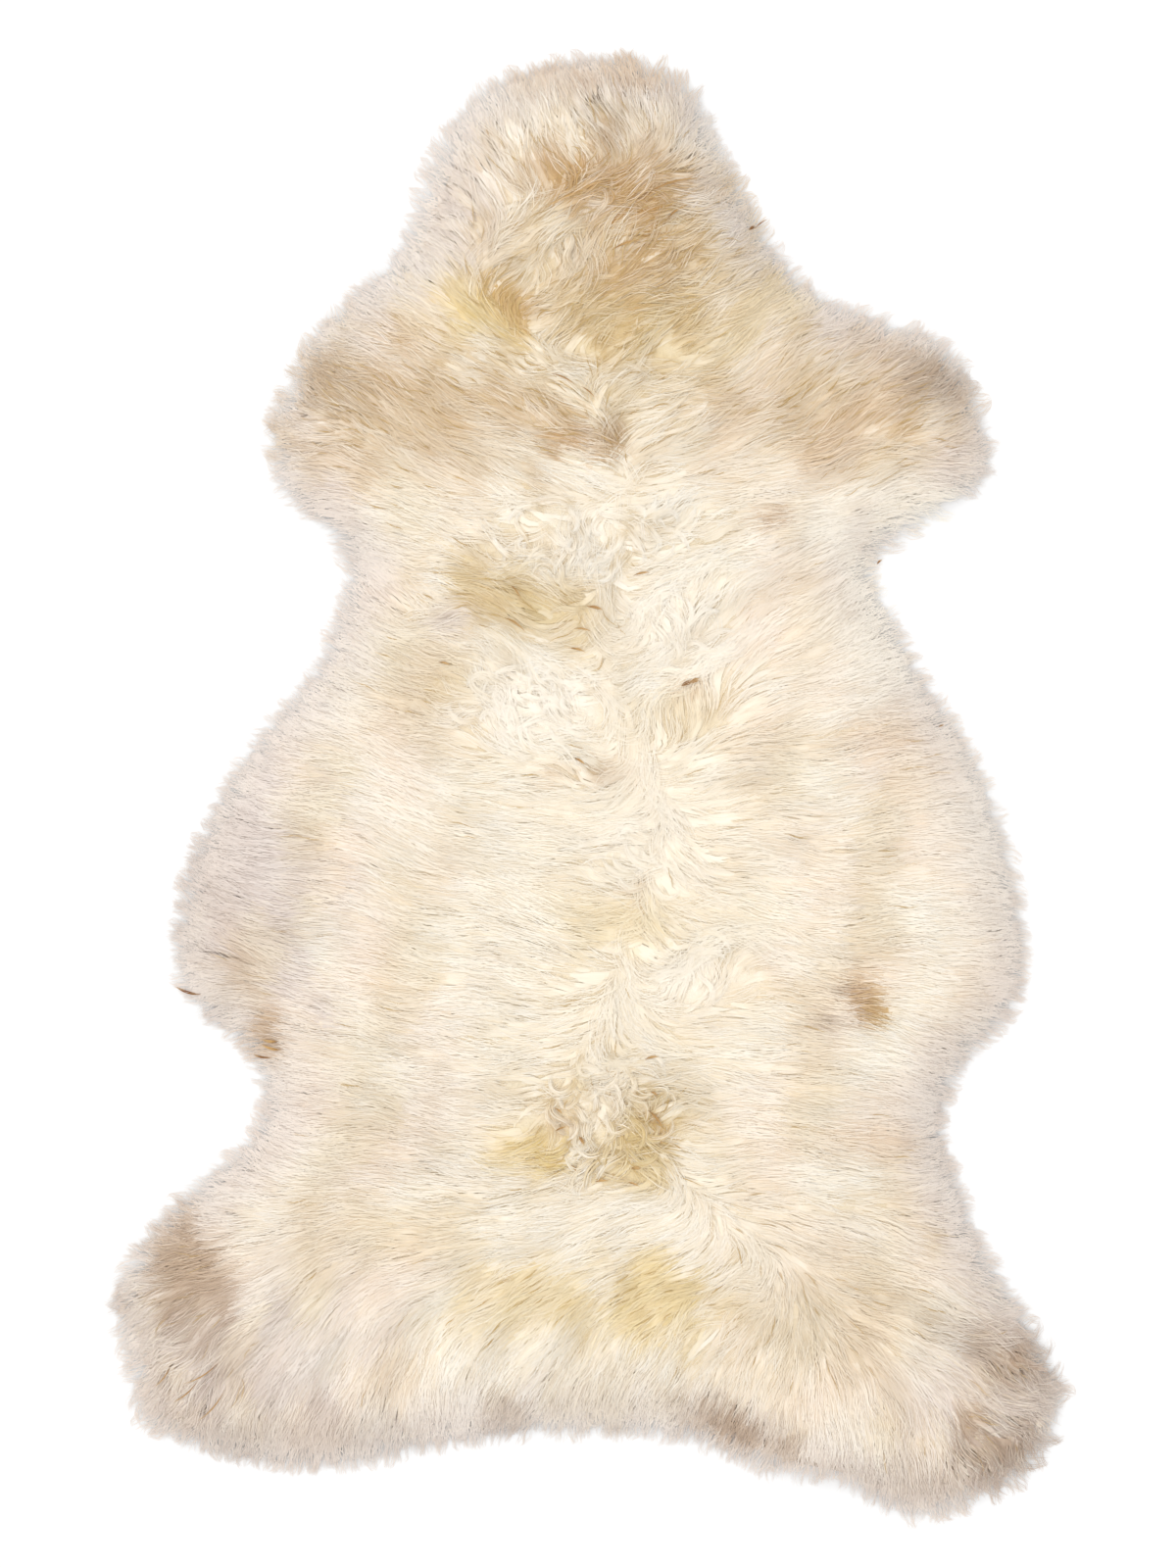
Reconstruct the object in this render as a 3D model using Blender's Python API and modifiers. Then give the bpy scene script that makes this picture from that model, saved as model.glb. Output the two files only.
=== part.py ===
"""A sheepskin rug lying flat on the floor, wool side up, its head towards +Y.

Two pieces make it: the tanned hide, a thin flat sheet, and the fleece that grows
on it, a lumpy slab of wool whose rim ends in locks that fall to the floor. The
hide sits in a shallow recess in the underside of the fleece.

Units are metres, +Z is up and the rug rests on z = 0.
"""

from collections import namedtuple

import bmesh
import bpy
import numpy as np
from mathutils import Matrix

MM = 0.001

# ---- Driving sizes -----------------------------------------------------------

HIDE_THICKNESS = 2.0 * MM
HIDE_SETBACK = 42.0 * MM        # from the tips of the wool in to the hide's edge
FIT_GAP = 0.3 * MM              # between the hide and the wool over it

SLAB_SETBACK = 27.0 * MM        # from the tips of the wool in to the slab's edge
SLAB_BLANK = 27.0 * MM          # the slab before its top is shaped
SLAB_CELL = 18.0 * MM           # size of the slab's faces
SLAB_LIFT = 0.8 * MM            # the slab's underside, off the floor between the locks
ROW_SNAP = 0.25                 # share of the blank within which points join its faces
RIM_HEIGHT = 20.0 * MM          # the coat's height at the slab's edge
RIM_ROLL = 7.0 * MM             # how far the slab's edge rolls over from foot to top
COAT_HEIGHT = 38.0 * MM         # the coat's height well inside the rug
RIM_ROUNDING = 38.0 * MM        # how far in the coat keeps rising from the rim

TUFT_SPACING = 60.0 * MM        # the staples of wool that make the lumps on top
TUFT_LENGTH = 44.0 * MM
TUFT_WIDTH = 22.0 * MM
TUFT_RISE = 15.0 * MM
TUFT_STRENGTHS = (0.55, 1.0)    # the flattest and the fullest tuft
TUFT_TROUGH = 0.35              # share of the rise that lies below the coat's height
TUFT_STRAY = 0.3                # how far a tuft strays from its even place, in spacings
TUFT_AT_RIM = 0.25              # share of the rise that is left at the rim

LOCK_SPACING = 20.0 * MM        # along the rug's edge
LOCK_ROOT_DEPTH = 12.0 * MM     # how deep a lock's root lies in the slab
LOCK_ROOT_HEIGHT = 13.5 * MM    # of the root's middle above the floor
LOCK_ROOT_RADIUS = 6.4 * MM     # half of a lock's height at its root
LOCK_FALL_RADIUS = 5.0 * MM
LOCK_TIP_RADIUS = 1.3 * MM
LOCK_SIZES = (0.72, 1.15)       # the thinnest and the thickest lock
LOCK_FLATNESS = 1.6             # a lock's width over its height
LOCK_LEAN = 0.3                 # how far the lie of the wool turns a lock
LOCK_STRAY = 0.26               # how far a lock strays to either side
LOCK_FALL_SHARE = 0.42          # of the free length, where a lock reaches the floor
LOCK_REACHES = (0.66, 1.12)     # the shortest and the longest, as shares of SLAB_SETBACK
NOTCH_RADIUS = 50.0 * MM        # locks in a notch tighter than this are left out
FLOOR_SNAP = 0.9 * MM           # points of a lock nearer the floor than this lie on it

EDGE_STEP = 4.0 * MM            # spacing of the points that describe the outline
HIDE_STEP = 16.0 * MM           # the same for the hide's edge
SLAB_STEP = 12.0 * MM           # the same for the slab's edge
SEED = 21
JOIN_SOLVER = "MANIFOLD"        # keeps the fleece closed where a lock grazes an edge

# ---- The pelt's outline, wool included ---------------------------------------

# A row for each section across the pelt, from the crown to the hind feet: its
# place along the rug, and how far the wool reaches to the left and to the right.
Section = namedtuple("Section", "name y left right")
SECTIONS = (
    Section("crown", 532, -64, 81),
    Section("cheeks", 492, -104, 99),
    Section("nape", 444, -126, 121),
    Section("neck", 399, -145, 148),
    Section("shoulders", 367, -179, 184),
    Section("withers", 345, -200, 248),
    Section("forelegs", 323, -214, 280),
    Section("forefeet", 276, -236, 301),
    Section("forefeet, lower", 235, -230, 300),
    Section("forefeet, under", 212, -212, 268),
    Section("armpits", 195, -194, 207),
    Section("elbows", 168, -177, 214),
    Section("ribs", 125, -187, 232),
    Section("ribs, lower", 85, -205, 252),
    Section("belly, start", 41, -243, 281),
    Section("belly", -12, -276, 307),
    Section("belly, middle", -69, -300, 322),
    Section("belly, widest", -131, -308, 329),
    Section("flanks", -168, -289, 318),
    Section("flanks, lower", -193, -255, 294),
    Section("waist", -234, -240, 270),
    Section("waist, lower", -268, -254, 269),
    Section("thighs", -298, -292, 279),
    Section("thighs, middle", -340, -330, 295),
    Section("thighs, lower", -381, -354, 321),
    Section("hind feet", -427, -345, 350),
    Section("hind feet, lower", -466, -338, 358),
)

# A row for each place along the back edge, from the left foot to the right one.
EdgePlace = namedtuple("EdgePlace", "name x y")
BACK_EDGE = (
    EdgePlace("left foot, heel", -318, -487),
    EdgePlace("left foot, toe", -268, -500),
    EdgePlace("left foot, inside", -212, -508),
    EdgePlace("left of rump", -160, -503),
    EdgePlace("rump, left", -108, -492),
    EdgePlace("rump", -50, -484),
    EdgePlace("tail", 8, -483),
    EdgePlace("rump, right", 58, -485),
    EdgePlace("right of rump", 104, -497),
    EdgePlace("right foot, inside", 152, -520),
    EdgePlace("right foot, middle", 200, -531),
    EdgePlace("right foot, toe", 243, -547),
    EdgePlace("right foot, heel", 291, -538),
    EdgePlace("right foot, outside", 337, -511),
)
CROWN_TOP = EdgePlace("top of the crown", 28, 551)

# How the wool lies: it runs out from the spine to both sides, and at each section
# it leans towards the head by this angle, or towards the tail where negative.
Lie = namedtuple("Lie", "name y lean")
LIES = (
    Lie("crown", 540, 72),
    Lie("nape", 440, 46),
    Lie("shoulders", 350, 32),
    Lie("forelegs", 270, 20),
    Lie("armpits", 215, 4),
    Lie("ribs", 110, 22),
    Lie("belly", -30, 16),
    Lie("flanks", -150, 0),
    Lie("waist", -240, -12),
    Lie("thighs", -340, -34),
    Lie("hind feet", -430, -52),
    Lie("back edge", -500, -76),
)
SPINE_X = 6.0 * MM
SPINE_HALF_WIDTH = 45.0 * MM    # over which the wool turns from left to right

# ---- Finishes ----------------------------------------------------------------

WOOL_COLOUR = (0.86, 0.76, 0.62, 1.0)
WOOL_ROUGHNESS = 0.9
SUEDE_COLOUR = (0.66, 0.50, 0.33, 1.0)
SUEDE_ROUGHNESS = 0.85


# ---- Outline -----------------------------------------------------------------

def outline_knots():
    """The places that the outline passes through, counterclockwise from the crown."""
    left_side = [(row.left, row.y) for row in SECTIONS]
    back = [(row.x, row.y) for row in BACK_EDGE]
    right_side = [(row.right, row.y) for row in reversed(SECTIONS)]
    return np.array([(CROWN_TOP.x, CROWN_TOP.y)] + left_side + back + right_side) * MM


def smooth_closed_curve(knots, steps=12):
    """A closed Catmull-Rom curve through the knots, with steps points a span."""
    before = np.roll(knots, 1, axis=0)[:, None, :]
    start = knots[:, None, :]
    end = np.roll(knots, -1, axis=0)[:, None, :]
    after = np.roll(knots, -2, axis=0)[:, None, :]
    t = (np.arange(steps) / steps)[None, :, None]
    points = 0.5 * (
        2.0 * start
        + (end - before) * t
        + (2.0 * before - 5.0 * start + 4.0 * end - after) * t ** 2
        + (3.0 * start - before - 3.0 * end + after) * t ** 3
    )
    return points.reshape(-1, 2)


def even_points(points, step):
    """The closed line through the points, as points about one step apart."""
    closed = np.vstack([points, points[:1]])
    runs = np.linalg.norm(np.diff(closed, axis=0), axis=1)
    along = np.concatenate([[0.0], np.cumsum(runs)])
    count = max(3, round(along[-1] / step))
    stations = np.arange(count) * along[-1] / count
    return np.column_stack([np.interp(stations, along, closed[:, k]) for k in (0, 1)])


def outward_normals(points, smoothing=3):
    """Unit normals of a counterclockwise closed line, pointing out of it."""
    tangent = sum(
        np.roll(points, -k, axis=0) - np.roll(points, k, axis=0)
        for k in range(1, smoothing + 1)
    )
    normal = np.column_stack([tangent[:, 1], -tangent[:, 0]])
    return normal / np.linalg.norm(normal, axis=1)[:, None]


def distance_to_line(places, line):
    """How far each place is from the nearest point of the line."""
    gaps = places[:, None, :] - line[None, :, :]
    return np.sqrt((gaps ** 2).sum(axis=2).min(axis=1))


def inset_outline(outline, setback, step):
    """The outline moved inwards by the setback, without the loops that notches make."""
    moved = outline - outward_normals(outline) * setback
    keep = distance_to_line(moved, outline) > setback - 0.5 * EDGE_STEP
    return even_points(moved[keep], step)


def grow_outline(points, distance):
    """The outline moved outwards by a small distance."""
    return points + outward_normals(points, smoothing=1) * distance


# ---- How the wool lies -------------------------------------------------------

def wool_direction(places):
    """Unit vectors along which the wool lies at each place, seen from above."""
    rows = sorted(LIES, key=lambda row: row.y)
    lean = np.radians(np.interp(
        places[:, 1], [row.y * MM for row in rows], [row.lean for row in rows]))
    side = np.tanh((places[:, 0] - SPINE_X) / SPINE_HALF_WIDTH)
    direction = np.column_stack([side * np.cos(lean), np.sin(lean)])
    length = np.linalg.norm(direction, axis=1)
    return direction / np.maximum(length, 1e-6)[:, None]


def tuft_centres(outline, rng):
    """Uneven places over the rug, a tuft spacing apart, where staples of wool rise."""
    low = outline.min(axis=0)
    high = outline.max(axis=0)
    across = np.arange(low[0], high[0], TUFT_SPACING)
    along = np.arange(low[1], high[1], TUFT_SPACING)
    grid = np.array([
        (x + 0.5 * TUFT_SPACING * (row % 2), y)
        for row, y in enumerate(along)
        for x in across
    ])
    return grid + rng.uniform(-TUFT_STRAY, TUFT_STRAY, grid.shape) * TUFT_SPACING


def coat_height(places, outline, rng):
    """The height of the wool at each place: a rounded rim, and tufts on the top."""
    depth = distance_to_line(places, outline)
    body = RIM_HEIGHT + (COAT_HEIGHT - RIM_HEIGHT) * (1.0 - np.exp(-depth / RIM_ROUNDING))

    centres = tuft_centres(outline, rng)
    heading = wool_direction(centres)
    strength = rng.uniform(*TUFT_STRENGTHS, len(centres))
    offset = places[:, None, :] - centres[None, :, :]
    along = (offset * heading[None, :, :]).sum(axis=2)
    across = offset[:, :, 0] * heading[None, :, 1] - offset[:, :, 1] * heading[None, :, 0]
    tufts = strength * np.exp(-(along / TUFT_LENGTH) ** 2 - (across / TUFT_WIDTH) ** 2)
    fade = np.clip(depth / RIM_ROUNDING, TUFT_AT_RIM, 1.0)
    return body + TUFT_RISE * (tufts.max(axis=1) - TUFT_TROUGH) * fade


# ---- Blender helpers ---------------------------------------------------------

def clear_scene():
    """Remove every object that the file starts with."""
    for item in list(bpy.data.objects):
        bpy.data.objects.remove(item, do_unlink=True)


def new_collection(name):
    """A collection in the scene."""
    collection = bpy.data.collections.new(name)
    bpy.context.scene.collection.children.link(collection)
    return collection


def plain_material(name, colour, roughness):
    """A Principled material with one colour."""
    material = bpy.data.materials.new(name)
    material.use_nodes = True
    shader = material.node_tree.nodes["Principled BSDF"]
    shader.inputs["Base Color"].default_value = colour
    shader.inputs["Roughness"].default_value = roughness
    shader.inputs["Metallic"].default_value = 0.0
    material.diffuse_color = colour
    return material


def curve_to_mesh(name, curve_object, collection):
    """Turn a filled or bevelled curve into a closed mesh object, and drop the curve."""
    bpy.context.view_layer.update()
    evaluated = curve_object.evaluated_get(bpy.context.evaluated_depsgraph_get())
    mesh = bpy.data.meshes.new_from_object(evaluated)
    mesh.name = name
    shell = bmesh.new()
    shell.from_mesh(mesh)
    bmesh.ops.remove_doubles(shell, verts=shell.verts, dist=0.00001)
    bmesh.ops.recalc_face_normals(shell, faces=shell.faces)
    shell.to_mesh(mesh)
    shell.free()
    item = bpy.data.objects.new(name, mesh)
    item.matrix_world = curve_object.matrix_world
    bpy.data.objects.remove(curve_object, do_unlink=True)
    collection.objects.link(item)
    return item


def flat_plate(name, points, bottom, top, collection):
    """A flat plate of the outline given, from one height to another."""
    curve = bpy.data.curves.new(name + " outline", "CURVE")
    curve.dimensions = "2D"
    curve.fill_mode = "BOTH"
    curve.extrude = 0.5 * (top - bottom)
    spline = curve.splines.new("POLY")
    spline.points.add(len(points) - 1)
    flat = np.column_stack([points, np.zeros(len(points)), np.ones(len(points))])
    spline.points.foreach_set("co", flat.ravel())
    spline.use_cyclic_u = True
    item = bpy.data.objects.new(name + " outline", curve)
    item.location.z = 0.5 * (top + bottom)
    collection.objects.link(item)
    return curve_to_mesh(name, item, collection)


def evaluated_mesh(item):
    """The mesh of an object with its modifiers applied."""
    bpy.context.view_layer.update()
    graph = bpy.context.evaluated_depsgraph_get()
    return bpy.data.meshes.new_from_object(item.evaluated_get(graph))


def vertex_positions(mesh):
    """A mesh's points as an array."""
    positions = np.empty(len(mesh.vertices) * 3)
    mesh.vertices.foreach_get("co", positions)
    return positions.reshape(-1, 3)


def mark_as_cutter(item):
    """Show a helper as wire and keep it out of renders."""
    item.hide_render = True
    item.display_type = "WIRE"


def add_boolean(item, other, operation, solver="EXACT"):
    """Cut or join one object with another."""
    modifier = item.modifiers.new(operation.lower(), "BOOLEAN")
    modifier.operation = operation
    modifier.object = other
    modifier.solver = solver


# ---- The hide ----------------------------------------------------------------

def build_hide(hide_line, material, parts):
    """The tanned skin: a thin flat sheet that rests on the floor."""
    hide = flat_plate("hide", hide_line, 0.0, HIDE_THICKNESS, parts)
    hide.data.materials.clear()
    hide.data.materials.append(material)
    return hide


# ---- The fleece --------------------------------------------------------------

def rim_roll(places, share, line):
    """How far the slab's edge moves out at half its height, and in at its top."""
    gaps = ((places[:, None, :] - line[None, :, :]) ** 2).sum(axis=2)
    nearest = gaps.argmin(axis=1)
    at_edge = np.sqrt(gaps.min(axis=1)) < 0.5 * SLAB_CELL
    roll = RIM_ROLL * (np.sin(np.pi * share) - share) * at_edge
    return outward_normals(line)[nearest] * roll[:, None]


def build_slab(outline, rng, material, parts):
    """The body of the fleece: a slab of even cells with a rounded, lumpy top."""
    slab_line = inset_outline(outline, SLAB_SETBACK, SLAB_STEP)
    slab = flat_plate("fleece", slab_line, 0.0, SLAB_BLANK, parts)
    slab.data.transform(slab.matrix_world)
    slab.matrix_world = Matrix.Identity(4)
    remesh = slab.modifiers.new("cells", "REMESH")
    remesh.mode = "VOXEL"
    remesh.voxel_size = SLAB_CELL
    cells = evaluated_mesh(slab)
    slab.modifiers.clear()

    positions = vertex_positions(cells)
    share = np.clip(positions[:, 2] / SLAB_BLANK, 0.0, 1.0)
    share[share < ROW_SNAP] = 0.0
    share[share > 1.0 - ROW_SNAP] = 1.0
    height = coat_height(positions[:, :2], slab_line, rng)
    positions[:, 2] = SLAB_LIFT + share * (height - SLAB_LIFT)
    positions[:, :2] += rim_roll(positions[:, :2], share, slab_line)
    cells.vertices.foreach_set("co", positions.ravel())
    cells.update()

    slab.data = cells
    cells.name = "fleece"
    cells.materials.clear()
    cells.materials.append(material)
    cells.shade_smooth()
    return slab


def lock_rows(outline, rng):
    """Where the locks leave the slab, where they point, how long and how thick they are."""
    edge = even_points(outline, LOCK_SPACING)
    normal = outward_normals(edge, smoothing=2)
    turn = np.roll(normal, -2, axis=0) - np.roll(normal, 2, axis=0)
    tangent = np.column_stack([-normal[:, 1], normal[:, 0]])
    bend = (turn * tangent).sum(axis=1) / (4.0 * LOCK_SPACING)
    open_edge = bend > -1.0 / NOTCH_RADIUS

    heading = normal + LOCK_LEAN * wool_direction(edge)
    heading += rng.uniform(-LOCK_STRAY, LOCK_STRAY, edge.shape)
    heading /= np.linalg.norm(heading, axis=1)[:, None]
    reach = SLAB_SETBACK * rng.uniform(*LOCK_REACHES, len(edge))
    size = rng.uniform(*LOCK_SIZES, len(edge))
    root = edge - normal * SLAB_SETBACK
    return root[open_edge], heading[open_edge], reach[open_edge], size[open_edge]


def add_lock(curve, root, heading, reach, size):
    """One lock of wool: from inside the slab, down to the floor and out to its tip."""
    inner = root - heading * LOCK_ROOT_DEPTH
    fall = root + heading * reach * LOCK_FALL_SHARE
    tip = root + heading * (reach - LOCK_TIP_RADIUS)
    stations = (
        (inner, LOCK_ROOT_HEIGHT, size * LOCK_ROOT_RADIUS),
        (fall, size * LOCK_FALL_RADIUS, size * LOCK_FALL_RADIUS),
        (tip, LOCK_TIP_RADIUS, LOCK_TIP_RADIUS),
    )
    spline = curve.splines.new("POLY")
    spline.points.add(len(stations) - 1)
    for point, (place, height, radius) in zip(spline.points, stations):
        point.co = (place[0], place[1], height, 1.0)
        point.radius = radius / LOCK_ROOT_RADIUS


def lock_profile():
    """The three-sided section of a lock: a flat underside and a ridge along its top."""
    curve = bpy.data.curves.new("lock section", "CURVE")
    curve.dimensions = "2D"
    spline = curve.splines.new("POLY")
    spline.points.add(2)
    corners = ((-1, -1), (1, -1), (0, 1))
    for point, (x, y) in zip(spline.points, corners):
        width = x * LOCK_ROOT_RADIUS * LOCK_FLATNESS
        point.co = (width, y * LOCK_ROOT_RADIUS, 0.0, 1.0)
    spline.use_cyclic_u = True
    return bpy.data.objects.new("lock section", curve)


def build_locks(name, rows, cutters):
    """A set of locks that stand apart from each other, as one mesh."""
    curve = bpy.data.curves.new(name, "CURVE")
    curve.dimensions = "3D"
    curve.twist_mode = "Z_UP"
    curve.bevel_mode = "OBJECT"
    section = lock_profile()
    cutters.objects.link(section)
    curve.bevel_object = section
    curve.use_fill_caps = True
    for root, heading, reach, size in rows:
        add_lock(curve, root, heading, reach, size)
    item = bpy.data.objects.new(name + " curve", curve)
    cutters.objects.link(item)
    locks = curve_to_mesh(name, item, cutters)
    bpy.data.objects.remove(section, do_unlink=True)

    positions = vertex_positions(locks.data)
    low = positions[:, 2] < FLOOR_SNAP
    positions[low, 2] = 0.0
    locks.data.vertices.foreach_set("co", positions.ravel())
    locks.data.update()
    mark_as_cutter(locks)
    return locks


def build_fleece(outline, hide_line, material, parts, cutters):
    """The wool: the slab, with the hide's recess cut and the locks joined on."""
    rng = np.random.default_rng(SEED)
    fleece = build_slab(outline, rng, material, parts)

    recess_top = HIDE_THICKNESS + FIT_GAP
    recess_line = grow_outline(hide_line, FIT_GAP)
    recess = flat_plate("hide recess", recess_line, -recess_top, recess_top, cutters)
    mark_as_cutter(recess)
    add_boolean(fleece, recess, "DIFFERENCE")

    rows = list(zip(*lock_rows(outline, rng)))
    for first, name in ((0, "even locks"), (1, "odd locks")):
        locks = build_locks(name, rows[first::2], cutters)
        add_boolean(fleece, locks, "UNION", JOIN_SOLVER)
    return fleece


# ---- Place -------------------------------------------------------------------

def centre_on_origin(items, measured):
    """Move the model so that the measured object's box is centred over the origin."""
    mesh = evaluated_mesh(measured)
    positions = vertex_positions(mesh)
    bpy.data.meshes.remove(mesh)
    middle = 0.5 * (positions.min(axis=0) + positions.max(axis=0))
    for item in items:
        item.location.x -= middle[0]
        item.location.y -= middle[1]


def build_rug():
    """Build the whole rug."""
    clear_scene()
    parts = new_collection("Sheepskin rug")
    cutters = new_collection("Cutters")
    wool = plain_material("wool", WOOL_COLOUR, WOOL_ROUGHNESS)
    suede = plain_material("suede", SUEDE_COLOUR, SUEDE_ROUGHNESS)

    outline = even_points(smooth_closed_curve(outline_knots()), EDGE_STEP)
    hide_line = inset_outline(outline, HIDE_SETBACK, HIDE_STEP)
    build_hide(hide_line, suede, parts)
    fleece = build_fleece(outline, hide_line, wool, parts, cutters)
    centre_on_origin(list(bpy.data.objects), fleece)


build_rug()
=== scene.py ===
"""A long-wool sheepskin rug lying flat, wool side up, seen from straight above.

The frame gives the rug's two solids, the hide and the fleece. Here the hide becomes a
trimmed sheet with a suede nap. The fleece becomes a matted underwool shell covered with
strands of combed wool. The strands grow in locks that follow the lie of the coat, curl
along the spine and thin out into wisps round the rim.

Units are metres, +Z is up, and the rug rests on z = 0 with its head towards +Y.
"""

import logging
import math
from dataclasses import dataclass, field, fields
from enum import IntEnum
from typing import Any, NamedTuple

import bpy
import numpy as np
from numpy.typing import NDArray
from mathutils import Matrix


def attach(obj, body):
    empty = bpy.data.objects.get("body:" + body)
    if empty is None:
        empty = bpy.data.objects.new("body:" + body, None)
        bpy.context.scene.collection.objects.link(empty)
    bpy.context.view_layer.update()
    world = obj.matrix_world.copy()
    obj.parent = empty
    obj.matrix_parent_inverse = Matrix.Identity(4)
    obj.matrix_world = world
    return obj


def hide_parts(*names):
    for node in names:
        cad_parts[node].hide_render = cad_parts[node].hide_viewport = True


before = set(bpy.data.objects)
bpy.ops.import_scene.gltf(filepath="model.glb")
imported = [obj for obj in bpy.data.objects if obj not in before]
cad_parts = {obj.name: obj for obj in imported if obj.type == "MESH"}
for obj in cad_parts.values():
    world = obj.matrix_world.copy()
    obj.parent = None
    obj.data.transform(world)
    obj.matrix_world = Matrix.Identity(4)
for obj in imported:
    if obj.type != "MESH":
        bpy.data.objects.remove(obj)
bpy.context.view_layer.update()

log = logging.getLogger("sheepskin rug")
Array = NDArray[np.float64]
Indices = NDArray[np.int64]

MM = 0.001
NO_LENGTH = 1e-9
ROOT_BODY = "root"
# The solids are centred over the origin, so the places in the tables move by this much.
PLACE_SHIFT = np.array([-3.345, -0.849, 0.0]) * MM


# ---- The pelt's outline, lie, curls and colours ------------------------------------------

class Section(NamedTuple):
    """A section across the pelt: its place along it, and the wool's reach to both sides, in mm."""

    name: str
    y: float
    left: float
    right: float


SECTIONS = tuple(Section(*row) for row in (
    ("crown", 532, -64, 81), ("cheeks", 492, -104, 99), ("nape", 444, -126, 121),
    ("neck", 399, -145, 148), ("shoulders", 367, -179, 184), ("withers", 345, -200, 248),
    ("forelegs", 323, -214, 280), ("forefeet", 276, -236, 301),
    ("forefeet, lower", 235, -230, 300), ("forefeet, under", 212, -212, 273),
    ("armpits", 195, -194, 243), ("elbows", 168, -177, 214), ("ribs", 125, -187, 232),
    ("ribs, lower", 85, -205, 252), ("belly, start", 41, -243, 281), ("belly", -12, -276, 307),
    ("belly, middle", -69, -300, 322), ("belly, widest", -131, -308, 329),
    ("flanks", -168, -289, 318), ("flanks, lower", -193, -255, 294), ("waist", -234, -240, 270),
    ("waist, lower", -268, -254, 269), ("thighs", -298, -292, 279),
    ("thighs, middle", -340, -330, 295), ("thighs, lower", -381, -354, 321),
    ("hind feet", -427, -345, 350), ("hind feet, lower", -466, -338, 358),
))


class EdgePlace(NamedTuple):
    """A named place on the pelt's edge, in mm."""

    name: str
    x: float
    y: float


CROWN_TOP = EdgePlace("top of the crown", 28, 551)
BACK_EDGE = tuple(EdgePlace(*row) for row in (
    ("left foot, heel", -318, -487), ("left foot, toe", -268, -500),
    ("left foot, inside", -212, -508), ("left of rump", -160, -503), ("rump, left", -108, -492),
    ("rump", -50, -484), ("tail", 8, -483), ("rump, right", 58, -485),
    ("right of rump", 104, -497), ("right foot, inside", 152, -520),
    ("right foot, middle", 200, -531), ("right foot, toe", 243, -547),
    ("right foot, heel", 291, -538), ("right foot, outside", 337, -511),
))


class Lie(NamedTuple):
    """How far the wool leans towards the head at a section, in degrees, on the left and on the
    right of the parting. It runs outwards else."""

    name: str
    y: float
    left: float
    right: float


LIES = tuple(Lie(*row) for row in (
    ("crown", 540, 72, 70), ("cheeks", 504, 64, 66), ("forehead", 467, 60, 26),
    ("nape", 420, 60, 32), ("neck", 394, 50, 32), ("shoulders", 350, 28, 30),
    ("forelegs", 284, 25, 28), ("forefeet", 230, 22, 16), ("armpits", 174, 30, 24),
    ("elbows", 137, 32, 30), ("ribs", 90, 22, 16), ("belly, start", 27, 13, 7),
    ("belly", -20, 14, 6), ("belly, middle", -60, 14, -5), ("flanks", -130, 12, -4),
    ("flanks, lower", -192, 9, -10), ("waist", -240, 8, -8), ("thighs", -300, 3, -3),
    ("thighs, middle", -339, -15, -22), ("thighs, lower", -376, -34, -28),
    ("hind feet", -412, -56, -32), ("hind feet, lower", -449, -68, -44),
    ("back edge", -500, -80, -68),
))


class SpinePlace(NamedTuple):
    """Where the wool parts at a section, in mm: it runs to the left of x and to the right."""

    name: str
    y: float
    x: float


SPINE = tuple(SpinePlace(*row) for row in (
    ("crown", 540, 80), ("cheeks", 500, 62), ("forehead", 470, -8), ("nape", 435, -78),
    ("neck", 396, -88), ("shoulders", 360, -50), ("withers", 320, 4),
    ("withers, lower", 240, 36), ("whorls", 180, 26), ("ribs", 100, 18), ("belly", 0, 38),
    ("loins", -100, 46), ("hips", -200, 24), ("rump", -262, 14), ("right thigh", -310, 66),
    ("right thigh, middle", -347, 98), ("right thigh, lower", -409, 152),
    ("right foot", -475, 188),
))


class Whorl(NamedTuple):
    """A place where the wool turns or curls: its centre and half sizes in mm, the turn of its
    lie in degrees, and how tightly its locks curl, from 0 to 1."""

    name: str
    x: float
    y: float
    across: float
    along: float
    turn: float
    curl: float


WHORLS = tuple(Whorl(*row) for row in (
    ("forelock", 9, 440, 16, 12, 0, 0.7), ("curl under the forelock", -6, 402, 20, 18, 60, 0.7),
    ("poll", 36, 470, 50, 30, 0, 0.25), ("nape, dark", 36, 384, 36, 26, 0, 0.3),
    ("nape, waved", 0, 340, 70, 60, 0, 0.3), ("withers", 10, 276, 34, 16, 0, 0.25),
    ("whorls between the forelegs", -14, 184, 46, 28, 90, 1.0),
    ("right of the whorls", 44, 196, 30, 28, -60, 0.7),
    ("pale curl", -104, 128, 18, 16, 24, 0.5), ("olive tufts", 0, 140, 30, 18, 0, 0.5),
    ("long wisps on the ribs", 64, 110, 52, 44, 60, 0.55),
    ("swirl on the ribs", 66, 54, 34, 26, 100, 0.2),
    ("bright curls", -36, 62, 56, 30, -24, 0.85), ("tan tufts", 4, 12, 34, 12, 0, 0.5),
    ("loins", 46, -60, 36, 44, -50, 0.5), ("loins, right", 78, -136, 40, 30, 50, 0.6),
    ("cluster over the rump", 16, -236, 44, 44, 80, 1.0), ("rump", 10, -276, 24, 18, 0, 0.7),
    ("swirl on the thigh", 112, -374, 46, 34, -35, 0.25),
    ("left heel", -290, -440, 44, 44, -22, 0.3), ("right heel", 306, -468, 60, 66, 0, 0.22),
))


class Tousle(NamedTuple):
    """A part of the coat that is less smoothly combed: its centre and half sizes in mm, and how
    uneven it is. The smooth wool between them has LEAST_TOUSLE, and 1 is the middle."""

    name: str
    x: float
    y: float
    across: float
    along: float
    share: float


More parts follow.
